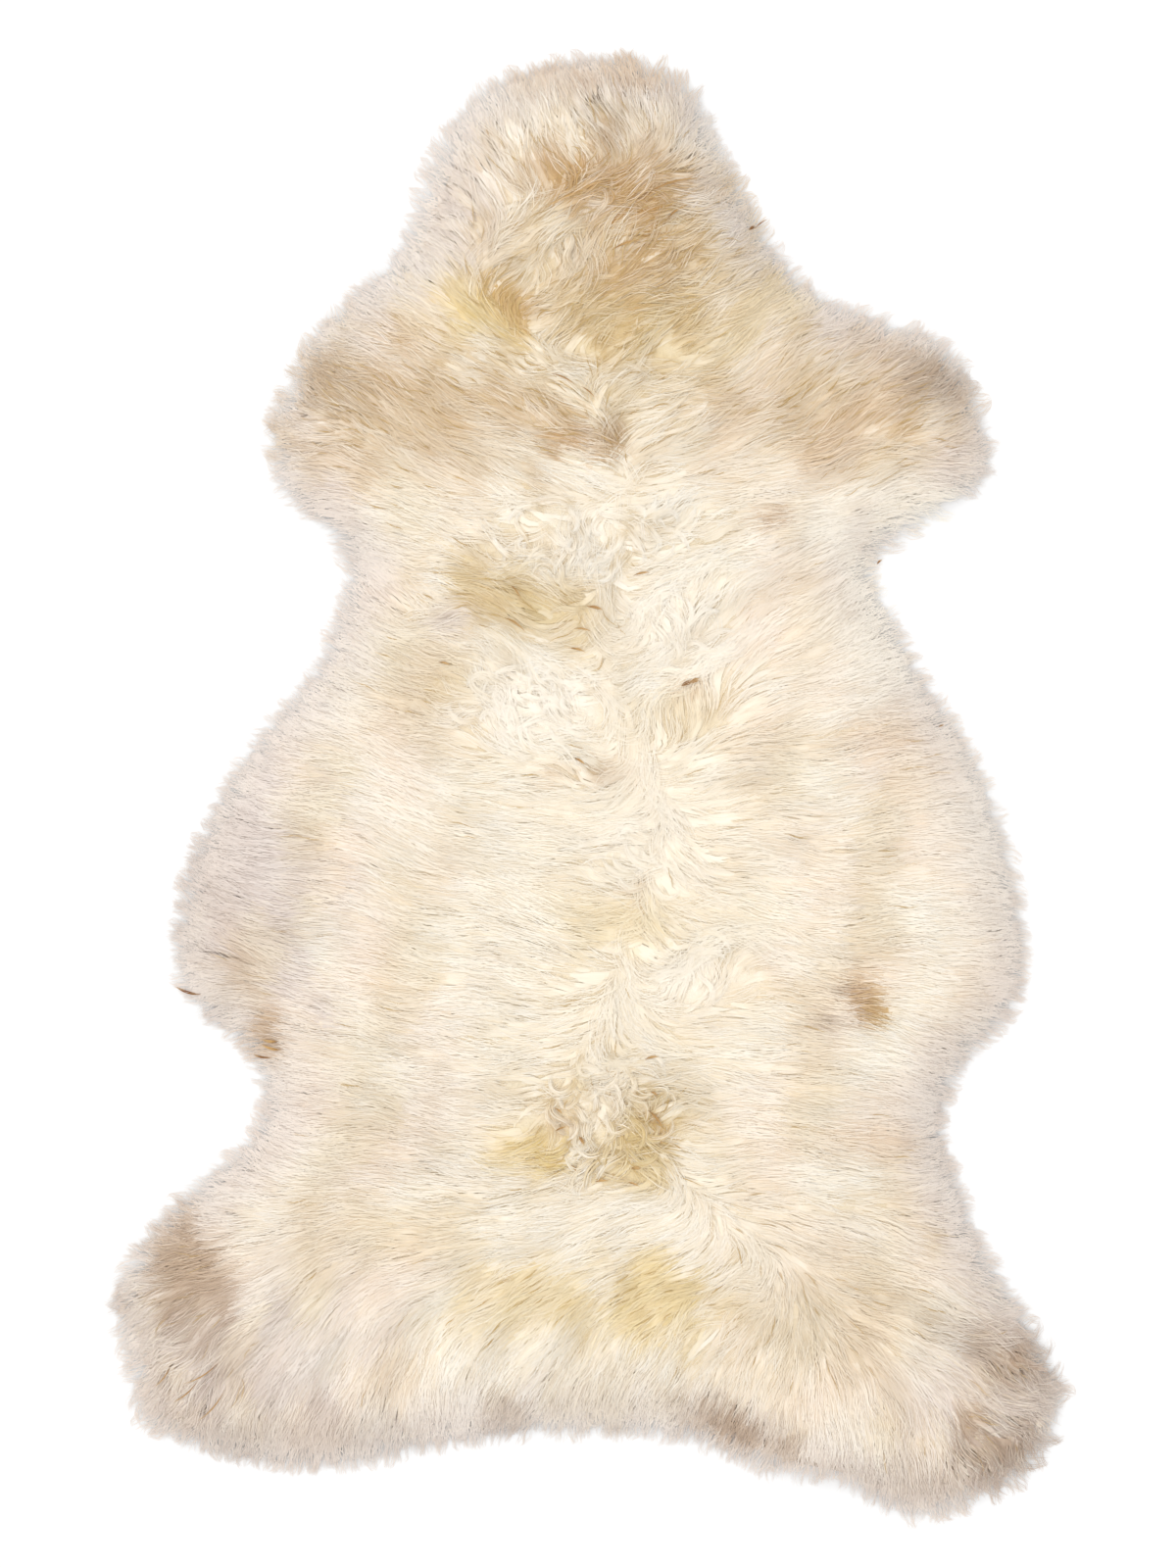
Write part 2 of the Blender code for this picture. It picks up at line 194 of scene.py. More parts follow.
LEAST_TOUSLE = 0.24
TOUSLES = tuple(Tousle(*row) for row in (
    ("head", 20, 420, 120, 120, 1.7), ("withers", 10, 300, 110, 60, 1.4),
    ("left foreleg", -160, 290, 110, 70, 1.6), ("right foreleg", 200, 285, 120, 70, 1.4),
    ("whorls", -20, 160, 90, 60, 0.9), ("cluster over the rump", 16, -244, 50, 46, 2.4),
    ("olive wool over the tail", 0, -360, 100, 60, 0.7), ("right thigh", 150, -390, 80, 60, 0.9),
    ("left foot", -300, -420, 80, 110, 1.2), ("right foot", 320, -460, 90, 110, 1.9),
))


class Tone(IntEnum):
    """The natural colours in patches on the cream wool, with lilac also as painted rim shade."""

    TAN = 0
    YELLOW = 1
    GREY = 2
    WHITE = 3
    RUST = 4
    LILAC = 5
    PEACH = 6
    OLIVE = 7


class Patch(NamedTuple):
    """A patch of colour: its tone, centre and half sizes in mm, tilt in degrees and strength."""

    tone: Tone
    x: float
    y: float
    across: float
    along: float
    tilt: float
    strength: float


# Each tone's patches, from the head to the tail.
PATCHES = tuple(Patch(tone, *row) for tone, rows in (
    (Tone.TAN, (
        (24, 400, 88, 80, 0, 0.22), (20, 455, 70, 34, -10, 0.74), (38, 395, 44, 40, 0, 0.5),
        (34, 544, 80, 18, 0, 0.42), (-44, 536, 26, 16, 20, 0.25), (-50, 364, 36, 16, -20, 0.55),
        (-96, 290, 112, 26, -16, 0.39), (-130, 282, 110, 52, -10, 0.28),
        (-188, 306, 38, 30, -10, 0.3), (-14, 260, 36, 13, 0, 0.7), (8, 250, 10, 4, 15, 0.8),
        (205, 280, 84, 28, 10, 0.38), (180, 284, 110, 50, 6, 0.3), (141, 203, 13, 6, 16, 0.7),
        (-84, 150, 40, 20, -24, 0.14), (80, 78, 14, 6, 18, 0.5), (205, 40, 40, 16, 10, 0.3),
        (4, 11, 34, 9, 0, 0.6), (35, -76, 14, 6, 0, 0.6), (210, -160, 26, 12, -54, 0.73),
        (213, -264, 50, 16, 0, 0.25), (-242, -182, 16, 22, 0, 0.6),
        (-258, -130, 12, 44, 14, 0.2), (54, -250, 8, 16, 30, 0.5), (-16, -248, 12, 14, 0, 0.3),
        (-300, -362, 32, 42, 30, 0.44), (319, -432, 16, 12, 40, 0.34),
        (292, -470, 14, 10, 30, 0.35), (302, -498, 20, 9, 20, 0.3),
        (114, -484, 38, 14, -24, 0.35),
    )),
    (Tone.YELLOW, (
        (-80, 360, 46, 26, -20, 0.82), (40, 350, 60, 28, 0, 0.45), (119, 350, 56, 30, 30, 0.35),
        (-62, 144, 56, 19, -20, 0.5), (-108, 77, 26, 16, 20, 0.2), (46, -60, 120, 140, 0, 0.16),
        (31, -98, 50, 28, 0, 0.6), (219, -167, 17, 7, -58, 0.6), (-44, -272, 46, 16, -14, 0.8),
        (44, -256, 26, 34, 0, 0.75), (-5, -222, 12, 12, 0, 0.6), (44, -384, 54, 34, 0, 0.7),
        (-44, -380, 56, 30, 10, 0.5), (-150, -330, 70, 30, 0, 0.25),
    )),
    (Tone.GREY, (
        (20, 500, 30, 24, 0, 0.3), (-194, 300, 46, 34, 0, 0.24), (8, 268, 26, 12, 0, 0.24),
        (264, 308, 30, 22, 0, 0.5), (-108, 126, 14, 7, -30, 0.3), (-121, 82, 48, 50, -10, 0.1),
        (-286, -80, 40, 100, 12, 0.17), (189, -150, 16, 6, -6, 0.5), (187, -172, 18, 8, 8, 0.5),
        (-154, -242, 76, 60, 0, 0.1), (-240, -186, 14, 12, 0, 0.35),
        (-184, -336, 70, 56, 0, 0.03), (184, -386, 66, 66, 0, 0.04),
        (-300, -372, 44, 52, 30, 0.5), (-300, -440, 60, 50, 0, 0.17),
        (322, -428, 36, 40, 0, 0.46), (322, -500, 60, 40, 20, 0.53),
        (112, -480, 42, 18, -24, 0.7), (15, -456, 60, 30, 0, 0.06), (-62, -474, 26, 16, 0, 0.42),
        (230, -520, 80, 20, 0, 0.3), (-220, -486, 90, 24, 0, 0.3),
    )),
    (Tone.WHITE, (
        (8, 437, 10, 8, 0, 0.6), (-7, 400, 20, 16, 0, 0.4), (70, 492, 34, 22, 0, 0.35),
        (-42, 498, 34, 26, 20, 0.32), (236, 210, 66, 26, 5, 0.95), (-10, 186, 44, 24, 0, 0.45),
        (60, 118, 50, 44, 0, 0.6), (-36, 62, 60, 30, 0, 0.8), (214, 122, 44, 66, 0, 0.7),
        (180, 100, 70, 70, 0, 0.38), (40, -60, 130, 150, 0, 0.3), (56, -30, 90, 70, 0, 0.65),
        (-30, -20, 60, 30, 0, 0.5), (76, -142, 46, 30, 0, 0.7), (290, -30, 60, 130, 0, 0.3),
        (14, -230, 34, 26, 0, 0.5), (150, -350, 50, 40, 0, 0.4),
    )),
    (Tone.RUST, (
        (141, 203, 9, 4, 20, 0.2), (206, -160, 18, 5, -50, 0.4), (-310, -452, 16, 3, 60, 0.32),
        (-284, -446, 22, 3, 45, 0.26), (-296, -470, 14, 3, 50, 0.28),
    )),
    # Lilac: the patches by the rim, on the left flank and the feet, add to the painted rim shade.
    (Tone.LILAC, (
        (-95, 425, 44, 64, -20, 0.6), (-103, 128, 16, 14, 0, 0.7),
        (-262, -60, 66, 120, 12, 0.95), (-184, -336, 70, 56, 0, 0.3),
        (184, -386, 66, 66, 0, 0.3), (-262, -430, 110, 66, 0, 0.72), (300, -455, 90, 70, 0, 0.6),
    )),
    (Tone.PEACH, (
        (139, 117, 40, 30, 0, 0.5), (257, 22, 40, 40, 0, 0.6),
    )),
    (Tone.OLIVE, (
        (28, 380, 104, 100, 0, 0.5), (-140, 288, 110, 60, -10, 0.32),
        (196, 282, 106, 50, 6, 0.18), (-34, 134, 78, 32, -20, 0.52),
        (-118, 84, 48, 46, -10, 0.38), (70, 60, 36, 22, 0, 0.5), (14, -290, 40, 12, 0, 0.5),
        (20, -244, 90, 56, 0, 0.26), (44, -252, 32, 42, 0, 0.45), (183, -385, 80, 70, 0, 0.4),
        (15, -456, 64, 30, 0, 0.2),
    )),
) for row in rows)


class Fleck(NamedTuple):
    """A small tuft of brown wool: its centre, length and width in mm, where it points, and how
    pale it is, from 0 to 1."""

    name: str
    x: float
    y: float
    length: float
    width: float
    heading: float
    paleness: float


# The lines, partings and cluster rows are thin tan strokes in the gaps between tufts: partly
# roots, partly painted shade there.
FLECKS = tuple(Fleck(*row) for row in (
    ("on the ribs", 76, 79, 10, 3.4, 20, 0.3), ("on the ribs, tip", 82, 81, 10, 2.8, 20, 0.62),
    ("under the whorls", 7, 135, 14, 2.0, -14, 0.65),
    ("beside the whorls", 42, 161, 14, 1.4, 12, 0.8),
    ("under the bright curls", -4, 21, 10, 1.6, -34, 0.9),
    ("left ribs, upper line", -52, 147, 14, 0.9, -55, 0.9),
    ("left ribs, lower line", -52, 122, 22, 0.9, -35, 0.9),
    ("left ribs, outer line", -105, 94, 10, 1.2, -15, 0.9),
    ("ribs, parting", -6, 104, 14, 1.4, -15, 0.85),
    ("ribs, upper parting", -2, 119, 14, 1.2, -10, 0.9),
    ("left flank", -300, -151, 22, 2.2, 164, 0.1),
    ("left notch", -244, -200, 17, 1.5, 172, 0.25),
    ("left notch, upper", -237, -188, 14, 2.4, 176, 1.0),
    ("left notch, middle", -236, -193, 18, 2.0, 168, 1.0),
    ("right of the neck", 126, 423, 8, 1.8, 28, 0.2),
    ("right of the neck, stalk", 133, 427, 14, 0.6, 38, 0.3),
    ("right armpit", 222, 172, 6, 1.2, 40, 0.3), ("right ribs", 268, 48, 5, 0.9, 20, 0.5),
    ("withers", -16, 305, 22, 0.9, -26, 0.6), ("withers, lower", 2, 296, 14, 0.8, -40, 0.6),
    ("poll, long parting", 66, 451, 48, 1.4, 19, 0.75),
    ("poll, lower parting", 70, 432, 26, 1.2, 36, 0.8),
    ("nape, parting", 31, 406, 26, 1.6, 18, 0.9), ("cluster", -3, -262, 9, 2.2, -60, 0.7),
    ("cluster, right", 52, -246, 20, 1.6, -52, 0.75),
    ("cluster, right, lower", 55, -262, 9, 1.2, -50, 0.8),
    ("cluster, upper", 24, -231, 8, 2.0, 15, 0.85),
    ("cluster, upper right", 51, -226, 7, 1.6, -30, 0.8),
    ("cluster, top right", 50, -200, 13, 1.8, 10, 1.0),
    ("cluster, left", -20, -240, 8, 1.2, -40, 0.8),
    ("cluster, left, lower", -18, -253, 10, 1.2, 20, 0.85),
    ("cluster, foot", 38, -282, 9, 2.2, 0, 0.9), ("rump, left tuft", -8, -283, 8, 1.4, -50, 0.8),
    ("rump, tuft", 12, -292, 10, 1.6, 5, 0.9), ("rump, right tuft", 36, -294, 10, 1.2, -20, 0.9),
    ("left heel, upper hair", -288, -436, 34, 0.7, 212, 0.8),
    ("left heel, middle hair", -300, -450, 30, 0.7, 222, 0.7),
    ("left heel, lower hair", -282, -462, 36, 0.7, 228, 0.8),
    ("left foot, rim hair", -318, -440, 24, 0.6, 232, 0.7),
))


# ---- Lines and fields --------------------------------------------------------------------

class Seed(IntEnum):
    """What each uneven thing starts its random numbers from, to come out the same every time."""

    FLEECE = 3
    CURLS = 7
    WISPS = 9
    LIE = 11
    FINE_LIE = 12
    CURL_TURN = 13
    BROAD_LOCKS = 17
    TUFTS = 21
    FLECKS = 23
    PARTINGS = 29
    PATCH_EDGE = 31
    FINE_PATCH_EDGE = 32
    BLUSH = 33
    MOTTLE = 35
    HAND = 41
    CLUMP = 43
    UNDERWOOL = 51


def smooth_step(values: Array, start: float, end: float) -> Array:
    """An even S-shaped rise from 0 at start to 1 at end: 3t^2 - 2t^3.

    Args:
        values: the numbers to look up.
        start: where the rise begins.
        end: where it ends. It may lie below start, for a fall.

    Returns:
        A share from 0 to 1 for each number.
    """
    share = np.clip((values - start) / (end - start), 0.0, 1.0)
    return share * share * (3.0 - 2.0 * share)


def rise_from(low: Any, share: Any) -> Any:
    """A value that goes evenly from low, where the share is 0, to 1, where the share is 1."""
    return low + (1.0 - low) * share


def ways(angles: Array) -> Array:
    """Unit vectors at some angles from +X, in radians."""
    return np.stack([np.cos(angles), np.sin(angles)], axis=-1)


def unit(vectors: Array) -> Array:
    """The vectors along the last axis, each made one long, but for those of no length."""
    return vectors / np.maximum(np.linalg.norm(vectors, axis=-1, keepdims=True), NO_LENGTH)


WAVES = 6                       # how many sine waves make a ripple
WAVE_LENGTHS = (0.7, 1.5)       # the shortest and longest, as shares of the mean
WAVE_HEIGHT = 0.7               # keeps nearly all of the sum within 1


def ripple(places: Array, wavelength: float, seed: int) -> Array:
    """A smooth uneven field: the sum of a few sine waves that run in seeded directions.

    Args:
        places: x and y of each place, on the last axis.
        wavelength: the mean distance from crest to crest.
        seed: picks the directions, lengths and phases.

    Returns:
        A value for each place, mostly between -1 and 1.
    """
    rng = np.random.default_rng(seed)
    angle = rng.uniform(0.0, 2.0 * math.pi, WAVES)
    rate = 2.0 * math.pi / (wavelength * rng.uniform(*WAVE_LENGTHS, WAVES))
    phase = rng.uniform(0.0, 2.0 * math.pi, WAVES)
    run = places[..., 0, None] * np.cos(angle) + places[..., 1, None] * np.sin(angle)
    return np.sin(run * rate + phase).sum(axis=-1) * math.sqrt(2.0 / WAVES) * WAVE_HEIGHT


def distances(line: Array) -> Array:
    """How far along a line each of its points lies."""
    return np.concatenate([[0.0], np.cumsum(np.linalg.norm(np.diff(line, axis=0), axis=1))])


def points_along(line: Array, along: Array, stations: Array) -> Array:
    """The points of a line at some distances along it, where its own points lie at along."""
    return np.column_stack([np.interp(stations, along, line[:, k]) for k in (0, 1)])


def even_points(points: Array, step: float) -> Array:
    """A closed line as points about one step apart, found by their distance along it.

    Args:
        points: the line's corners, the last joined to the first.
        step: the wanted spacing.

    Returns:
        The new points.
    """
    closed = np.vstack([points, points[:1]])
    along = distances(closed)
    count = max(3, round(along[-1] / step))
    return points_along(closed, along, np.arange(count) * along[-1] / count)


def outward_normals(points: Array, smoothing: int = 3) -> Array:
    """Normals of a counterclockwise closed line: its smoothed tangent, turned by -90 degrees.

    Args:
        points: the line's points.
        smoothing: how many neighbours on each side the tangent is taken over.

    Returns:
        A unit vector for each point, pointing out of the line.
    """
    tangent = sum(np.roll(points, -k, axis=0) - np.roll(points, k, axis=0)
                  for k in range(1, smoothing + 1))
    return unit(np.column_stack([tangent[:, 1], -tangent[:, 0]]))


def nearest_point(places: Array, line: Array, chunk: int = 4096) -> tuple[Array, Array]:
    """The nearest of a line's points to each place.

    Args:
        places: x and y of each place.
        line: the line's points.
        chunk: how many places are measured at once.

    Returns:
        The distance to the nearest point, and that point's index.
    """
    gaps, found = [], []
    for start in range(0, len(places), chunk):
        part = places[start:start + chunk]
        squares = ((part[:, None, :] - line[None, :, :]) ** 2).sum(axis=2)
        found.append(squares.argmin(axis=1))
        gaps.append(np.sqrt(squares.min(axis=1)))
    return np.concatenate(gaps), np.concatenate(found)


def uneven_rows(rng: np.random.Generator, line: Array, spacing: float, pitch: float,
                stray: float) -> Array:
    """Places in rows over a line's box, every other row moved by half a spacing, all astray.

    Args:
        rng: draws how far each place strays.
        line: the line's points.
        spacing: from place to place in a row.
        pitch: from row to row.
        stray: the most that a place strays either way, as a share of the spacing.

    Returns:
        x and y of each place.
    """
    low, high = line.min(axis=0), line.max(axis=0)
    along = np.arange(low[1], high[1], pitch)
    x, y = np.meshgrid(np.arange(low[0], high[0], spacing), along)
    x = x + 0.5 * spacing * (np.arange(len(along)) % 2)[:, None]
    places = np.stack([x, y], axis=-1).reshape(-1, 2)
    return places + rng.uniform(-stray, stray, places.shape) * spacing


def from_centre(places: Array, row: Any, tilt: float = 0.0) -> Array:
    """How far places lie from the centre of a table row's ellipse, squared, in its half sizes.

    Args:
        places: x and y of each place, on the last axis.
        row: a row with a centre and half sizes in mm.
        tilt: the ellipse's turn in degrees.

    Returns:
        0 at the centre, and 1 on the ellipse.
    """
    turn = math.radians(tilt)
    x, y = places[..., 0] - row.x * MM, places[..., 1] - row.y * MM
    across = (x * math.cos(turn) + y * math.sin(turn)) / (row.across * MM)
    along = (y * math.cos(turn) - x * math.sin(turn)) / (row.along * MM)
    return across ** 2 + along ** 2


def read_rows(rows: tuple[Any, ...], column: str, y: Array) -> Array:
    """A column of a table of sections, read between its rows at each y."""
    rows = sorted(rows, key=lambda row: row.y)
    return np.interp(y, [row.y * MM for row in rows], [getattr(row, column) for row in rows])


@dataclass(frozen=True)
class Pelt:
    """The pelt's outline, wool included, with the sizes that the solids were made from."""

    edge_step: float = 4.0 * MM
    spans: int = 12

    def line(self) -> Array:
        """The outline: a closed Catmull-Rom curve through the sections' ends and edge places.

        Returns:
            Points an edge step apart, counterclockwise from the crown.
        """
        left = [(row.left, row.y) for row in SECTIONS]
        back = [(row.x, row.y) for row in BACK_EDGE]
        right = [(row.right, row.y) for row in reversed(SECTIONS)]
        knots = np.array([(CROWN_TOP.x, CROWN_TOP.y), *left, *back, *right]) * MM
        before, start = np.roll(knots, 1, axis=0)[:, None], knots[:, None]
        end, after = np.roll(knots, -1, axis=0)[:, None], np.roll(knots, -2, axis=0)[:, None]
        t = (np.arange(self.spans) / self.spans)[None, :, None]
        points = 0.5 * (
            2.0 * start
            + (end - before) * t
            + (2.0 * before - 5.0 * start + 4.0 * end - after) * t ** 2
            + (3.0 * start - before - 3.0 * end + after) * t ** 3
        )
        return even_points(points.reshape(-1, 2), self.edge_step)

    def inset(self, setback: float, step: float) -> Array:
        """The outline moved inwards along its normals, without the loops that notches make.

        Args:
            setback: how far in it moves.
            step: the spacing of its new points.

        Returns:
            The inner line's points.
        """
        outline = self.line()
        moved = outline - outward_normals(outline) * setback
        gaps, _ = nearest_point(moved, outline)
        return even_points(moved[gaps > setback - 0.5 * self.edge_step], step)

    def four_edges(self, line: Array, count_across: int, count_along: int) -> tuple[Array, ...]:
        """A closed line cut at the four corners of the pelt.

        Args:
            line: the outline or an inner line, counterclockwise.
            count_across: points on the crown and on the back edge.
            count_along: points on each side.

        Returns:
            The crown and the back from left to right, and both sides from back to crown.
        """
        top, low = SECTIONS[0], SECTIONS[-1]
        corners = np.array([(top.left, top.y), (low.left, low.y),
                            (low.right, low.y), (top.right, top.y)]) * MM
        _, cuts = nearest_point(corners, line)
        runs = []
        for first, last, count in zip(cuts, np.roll(cuts, -1), (count_along, count_across) * 2):
            size = (last - first) % len(line)
            run = line[(first + np.arange(size + 1)) % len(line)]
            along = distances(run)
            runs.append(points_along(run, along, np.linspace(0.0, along[-1], count)))
        left, back, right, crown = runs
        return crown[::-1], back, left[::-1], right

    def patch(self, setback: float, count_across: int, count_along: int) -> Array:
        """A grid that fills an inner outline: the Coons surface between its four edges.

        The grid is the mix of crown and back, plus the mix of both sides, less the mix of the
        four corners. Points that this lays outside, in the armpits, go to the nearest edge.

        Args:
            setback: how far inside the outline the grid ends.
            count_across: its points from left to right.
            count_along: its points from back to crown.

        Returns:
            An array of count_along x count_across places.
        """
        line = self.inset(setback, self.edge_step)
        crown, back, left, right = self.four_edges(line, count_across, count_along)
        u = np.linspace(0.0, 1.0, count_across)[None, :, None]
        v = np.linspace(0.0, 1.0, count_along)[:, None, None]
        across = (1.0 - u) * left[:, None] + u * right[:, None]
        along = (1.0 - v) * back[None] + v * crown[None]
        corners = ((1.0 - v) * ((1.0 - u) * back[0] + u * back[-1])
                   + v * ((1.0 - u) * crown[0] + u * crown[-1]))
        grid = across + along - corners
        flat = grid.reshape(-1, 2)
        _, near = nearest_point(flat, line)
        outside = ((flat - line[near]) * outward_normals(line)[near]).sum(axis=1) > 0.0
        return np.where(outside[:, None], line[near], flat).reshape(grid.shape)


@dataclass(frozen=True)
class GridMap:
    """Values on an even grid over the rug, read between its points: rows x columns x channels."""

    low: Array
    step: float
    values: Array

    def at(self, places: Array) -> Array:
        """Read the map: each value is the mix of its cell's corners, by nearness.

        Args:
            places: x and y of each place, on the last axis.

        Returns:
            The channels at each place, on the last axis.
        """
        rows, columns = self.values.shape[:2]
        last = np.array([columns, rows]) - 1.001    # just inside the last cell
        cell = np.clip((places - self.low) / self.step, 0.0, last)
        corner = cell.astype(int)
        x, y = (cell - corner)[..., 0, None], (cell - corner)[..., 1, None]
        i, j = corner[..., 0], corner[..., 1]
        near = self.values[j, i] * (1.0 - x) + self.values[j, i + 1] * x
        far = self.values[j + 1, i] * (1.0 - x) + self.values[j + 1, i + 1] * x
        return near * (1.0 - y) + far * y


@dataclass
class Coat:
    """Where the wool is over the whole rug: how deep inside, how high, and how it lies."""

    pelt: Pelt
    grid_step: float = 4.0 * MM
    margin: float = 24.0 * MM
    rim_top: float = 3.0 * MM
    coat_top: float = 40.0 * MM
    rounding: float = 38.0 * MM
    rim_fall: float = 9.0 * MM
    slab_setback: float = 27.0 * MM
    slab_step: float = 12.0 * MM
    tuft_spacing: float = 60.0 * MM
    tuft_length: float = 44.0 * MM
    tuft_width: float = 22.0 * MM
    tuft_rise: float = 15.0 * MM
    tuft_strengths: tuple[float, float] = (0.55, 1.0)
    tuft_trough: float = 0.35
    tuft_stray: float = 0.3
    tuft_at_rim: float = 0.25
    spine_x: float = 6.0 * MM
    spine_half_width: float = 52.0 * MM
    spine_flow: float = 0.5         # how strongly the wool on the spine itself runs lengthwise
    nape_flow: float = 0.12         # the same above the parting place, where it waves across
    spine_level: float = 0.8        # how much of its lean the wool loses on the spine
    spine_parting: float = 190.0 * MM   # above this it runs to the head, below to the tail
    parting_half_length: float = 30.0 * MM
    rim_turn: float = 20.0 * MM
    rim_pull: float = 0.5
    ripple_turn: float = math.radians(8.0)
    ripple_length: float = 120.0 * MM
    fine_ripple: float = 0.35       # how long a second ripple is, as a share of the first
    curl_turn: float = 1.5          # how far a full curl swings the lie to and fro, in radians
    curl_length: float = 46.0 * MM
    spine_curl: float = 0.34
    curled_spine: tuple[float, float] = (-290.0 * MM, 200.0 * MM)
    curled_spine_fade: float = 60.0 * MM
    least_height: float = 0.4 * MM
    patch_wander: float = 0.3       # how far a patch's edge strays, as a share of its size
    patch_ripples: tuple[float, float] = (46.0 * MM, 17.0 * MM)
    patch_edge: tuple[float, float] = (1.45, 0.25)
    lilac_depths: tuple[float, float] = (58.0 * MM, 6.0 * MM)   # where the painted rim shade lies, by depth inside the outline
    lilac_share: float = 0.62
    side_band: tuple[float, float] = (50.0 * MM, 160.0 * MM)    # where peach and olive begin
    blush_length: float = 90.0 * MM
    blush_share: float = 0.4
    olive_length: float = 74.0 * MM
    olive_share: float = 0.28
    grid: GridMap = field(init=False)

    def __post_init__(self) -> None:
        """Work out the depth, the outward direction and the height on a grid."""
        outline = self.pelt.line()
        normals = outward_normals(outline)
        low = outline.min(axis=0) - self.margin
        high = outline.max(axis=0) + self.margin
        x = np.arange(low[0], high[0] + self.grid_step, self.grid_step)
        y = np.arange(low[1], high[1] + self.grid_step, self.grid_step)
        places = np.stack(np.meshgrid(x, y), axis=-1).reshape(-1, 2)
        gaps, nearest = nearest_point(places, outline)
        outside = ((places - outline[nearest]) * normals[nearest]).sum(axis=1) > 0.0
        depth = np.where(outside, -gaps, gaps)
        values = np.column_stack([depth, normals[nearest], self._height(places, depth)])
        self.grid = GridMap(low, self.grid_step, values.reshape(len(y), len(x), -1))

    def _height(self, places: Array, depth: Array) -> Array:
        """The coat's height: a rounded rim that falls to the floor, and tufts on the top.

        The body rises as 1 - exp(-depth / rounding). A tuft is a bell stretched along the lie
        of the wool, and the highest of them counts at each place.

        Args:
            places: x and y of each place.
            depth: how far each place is inside the outline.

        Returns:
            The height at each place.
        """
        inner = np.maximum(depth, 0.0)
        risen = 1.0 - np.exp(-inner / self.rounding)
        body = self.rim_top + (self.coat_top - self.rim_top) * risen
        body *= np.exp(np.minimum(depth, 0.0) / self.rim_fall)

        rng = np.random.default_rng(Seed.TUFTS)
        slab = self.pelt.inset(self.slab_setback, self.slab_step)
        centres = uneven_rows(rng, slab, self.tuft_spacing, self.tuft_spacing, self.tuft_stray)
        strength = rng.uniform(*self.tuft_strengths, len(centres))
        heading = self._combed_lie(centres, False)

        highest = np.zeros(len(places))
        for centre, way, full in zip(centres, heading, strength):
            offset = places - centre
            run = offset @ way
            aside = offset[:, 0] * way[1] - offset[:, 1] * way[0]
            bell = full * np.exp(-(run / self.tuft_length) ** 2 - (aside / self.tuft_width) ** 2)
            highest = np.maximum(highest, bell)
        past_slab = (depth - self.slab_setback) / self.rounding
        at_rim = self.tuft_at_rim * np.clip(depth / self.slab_setback, 0.0, 1.0)
        fade = np.clip(past_slab, at_rim, 1.0)
        return body + self.tuft_rise * (highest - self.tuft_trough) * fade

    def _combed_lie(self, places: Array, winding: bool) -> Array:
        """The lie without rim, ripple or whorls: out from the spine, leaning by section.

        Args:
            places: x and y of each place, on the last axis.
            winding: whether the spine winds through its named places or runs straight.

        Returns:
            A unit vector for each place.
        """
        left, right = (read_rows(LIES, side, places[..., 1]) for side in ("left", "right"))
        spine = self._spine(places) if winding else self.spine_x
        side = np.tanh((places[..., 0] - spine) / self.spine_half_width)
        lean = np.radians(left + (right - left) * (0.5 + 0.5 * side))
        flow = np.tanh((places[..., 1] - self.spine_parting) / self.parting_half_length)
        flow *= np.where(flow > 0.0, self.nape_flow, self.spine_flow) * winding
        middle = (1.0 - side ** 2) * winding
        ahead = np.sin(lean) * (1.0 - self.spine_level * middle) + flow * middle ** 2
        return unit(np.stack([side * np.cos(lean), ahead], axis=-1))

    def _spine(self, places: Array) -> Array:
        """Where the spine runs beside each place: its x, between the named places' own."""
        return read_rows(SPINE, "x", places[..., 1]) * MM

    def near_spine(self, places: Array) -> Array:
        """How near each place is to the spine: exp(-2 gap^2), with the gap in half widths."""
        gap = (places[..., 0] - self._spine(places)) / self.spine_half_width
        return np.exp(-2.0 * gap ** 2)

    def depth(self, places: Array) -> Array:
        """How far each place is inside the outline, negative outside."""
        return self.grid.at(places)[..., 0]

    def outward(self, places: Array) -> Array:
        """The direction to the nearest edge from each place."""
        return unit(self.grid.at(places)[..., 1:3])

    def top(self, places: Array) -> Array:
        """The height of the coat at each place."""
        return np.maximum(self.grid.at(places)[..., 3], self.least_height)

    def slope(self, places: Array, across: Array, reach: float) -> Array:
        """How steeply the coat rises to one side of each place.

        Args:
            places: x and y of each place, on the last axis.
            across: the direction to that side, a unit vector for each place.
            reach: how far to both sides the rise is measured.

        Returns:
            The angle of the rise in radians.
        """
        rise = self.top(places + across * reach) - self.top(places - across * reach)
        return np.arctan2(rise, 2.0 * reach)

    def whorl(self, places: Array) -> tuple[Array, Array]:
        """How the named whorls turn and curl the wool: each is a bell, exp(-r^2).

        Args:
            places: x and y of each place, on the last axis.

        Returns:
            The turn in radians and the curl from 0 to 1.
        """
        turn = np.zeros(places.shape[:-1])
        curl = np.zeros(places.shape[:-1])
        for row in WHORLS:
            bell = np.exp(-from_centre(places, row))
            turn += math.radians(row.turn) * bell
            curl = np.maximum(curl, row.curl * bell)
        y, (low, high), fade = places[..., 1], self.curled_spine, self.curled_spine_fade
        inside = smooth_step(y, low, low + fade) * smooth_step(y, high, high - fade)
        return turn, np.maximum(curl, self.spine_curl * self.near_spine(places) * inside)

    def tousle(self, places: Array) -> Array:
        """How uneven the coat is: the highest of the named parts' flat-topped bells, exp(-r^4).

        Args:
            places: x and y of each place, on the last axis.

        Returns:
            1 where the coat is as uneven as in the middle, and less in smooth wool.
        """
        found = np.full(places.shape[:-1], LEAST_TOUSLE)
        for row in TOUSLES:
            found = np.maximum(found, row.share * np.exp(-from_centre(places, row) ** 2))
        return found

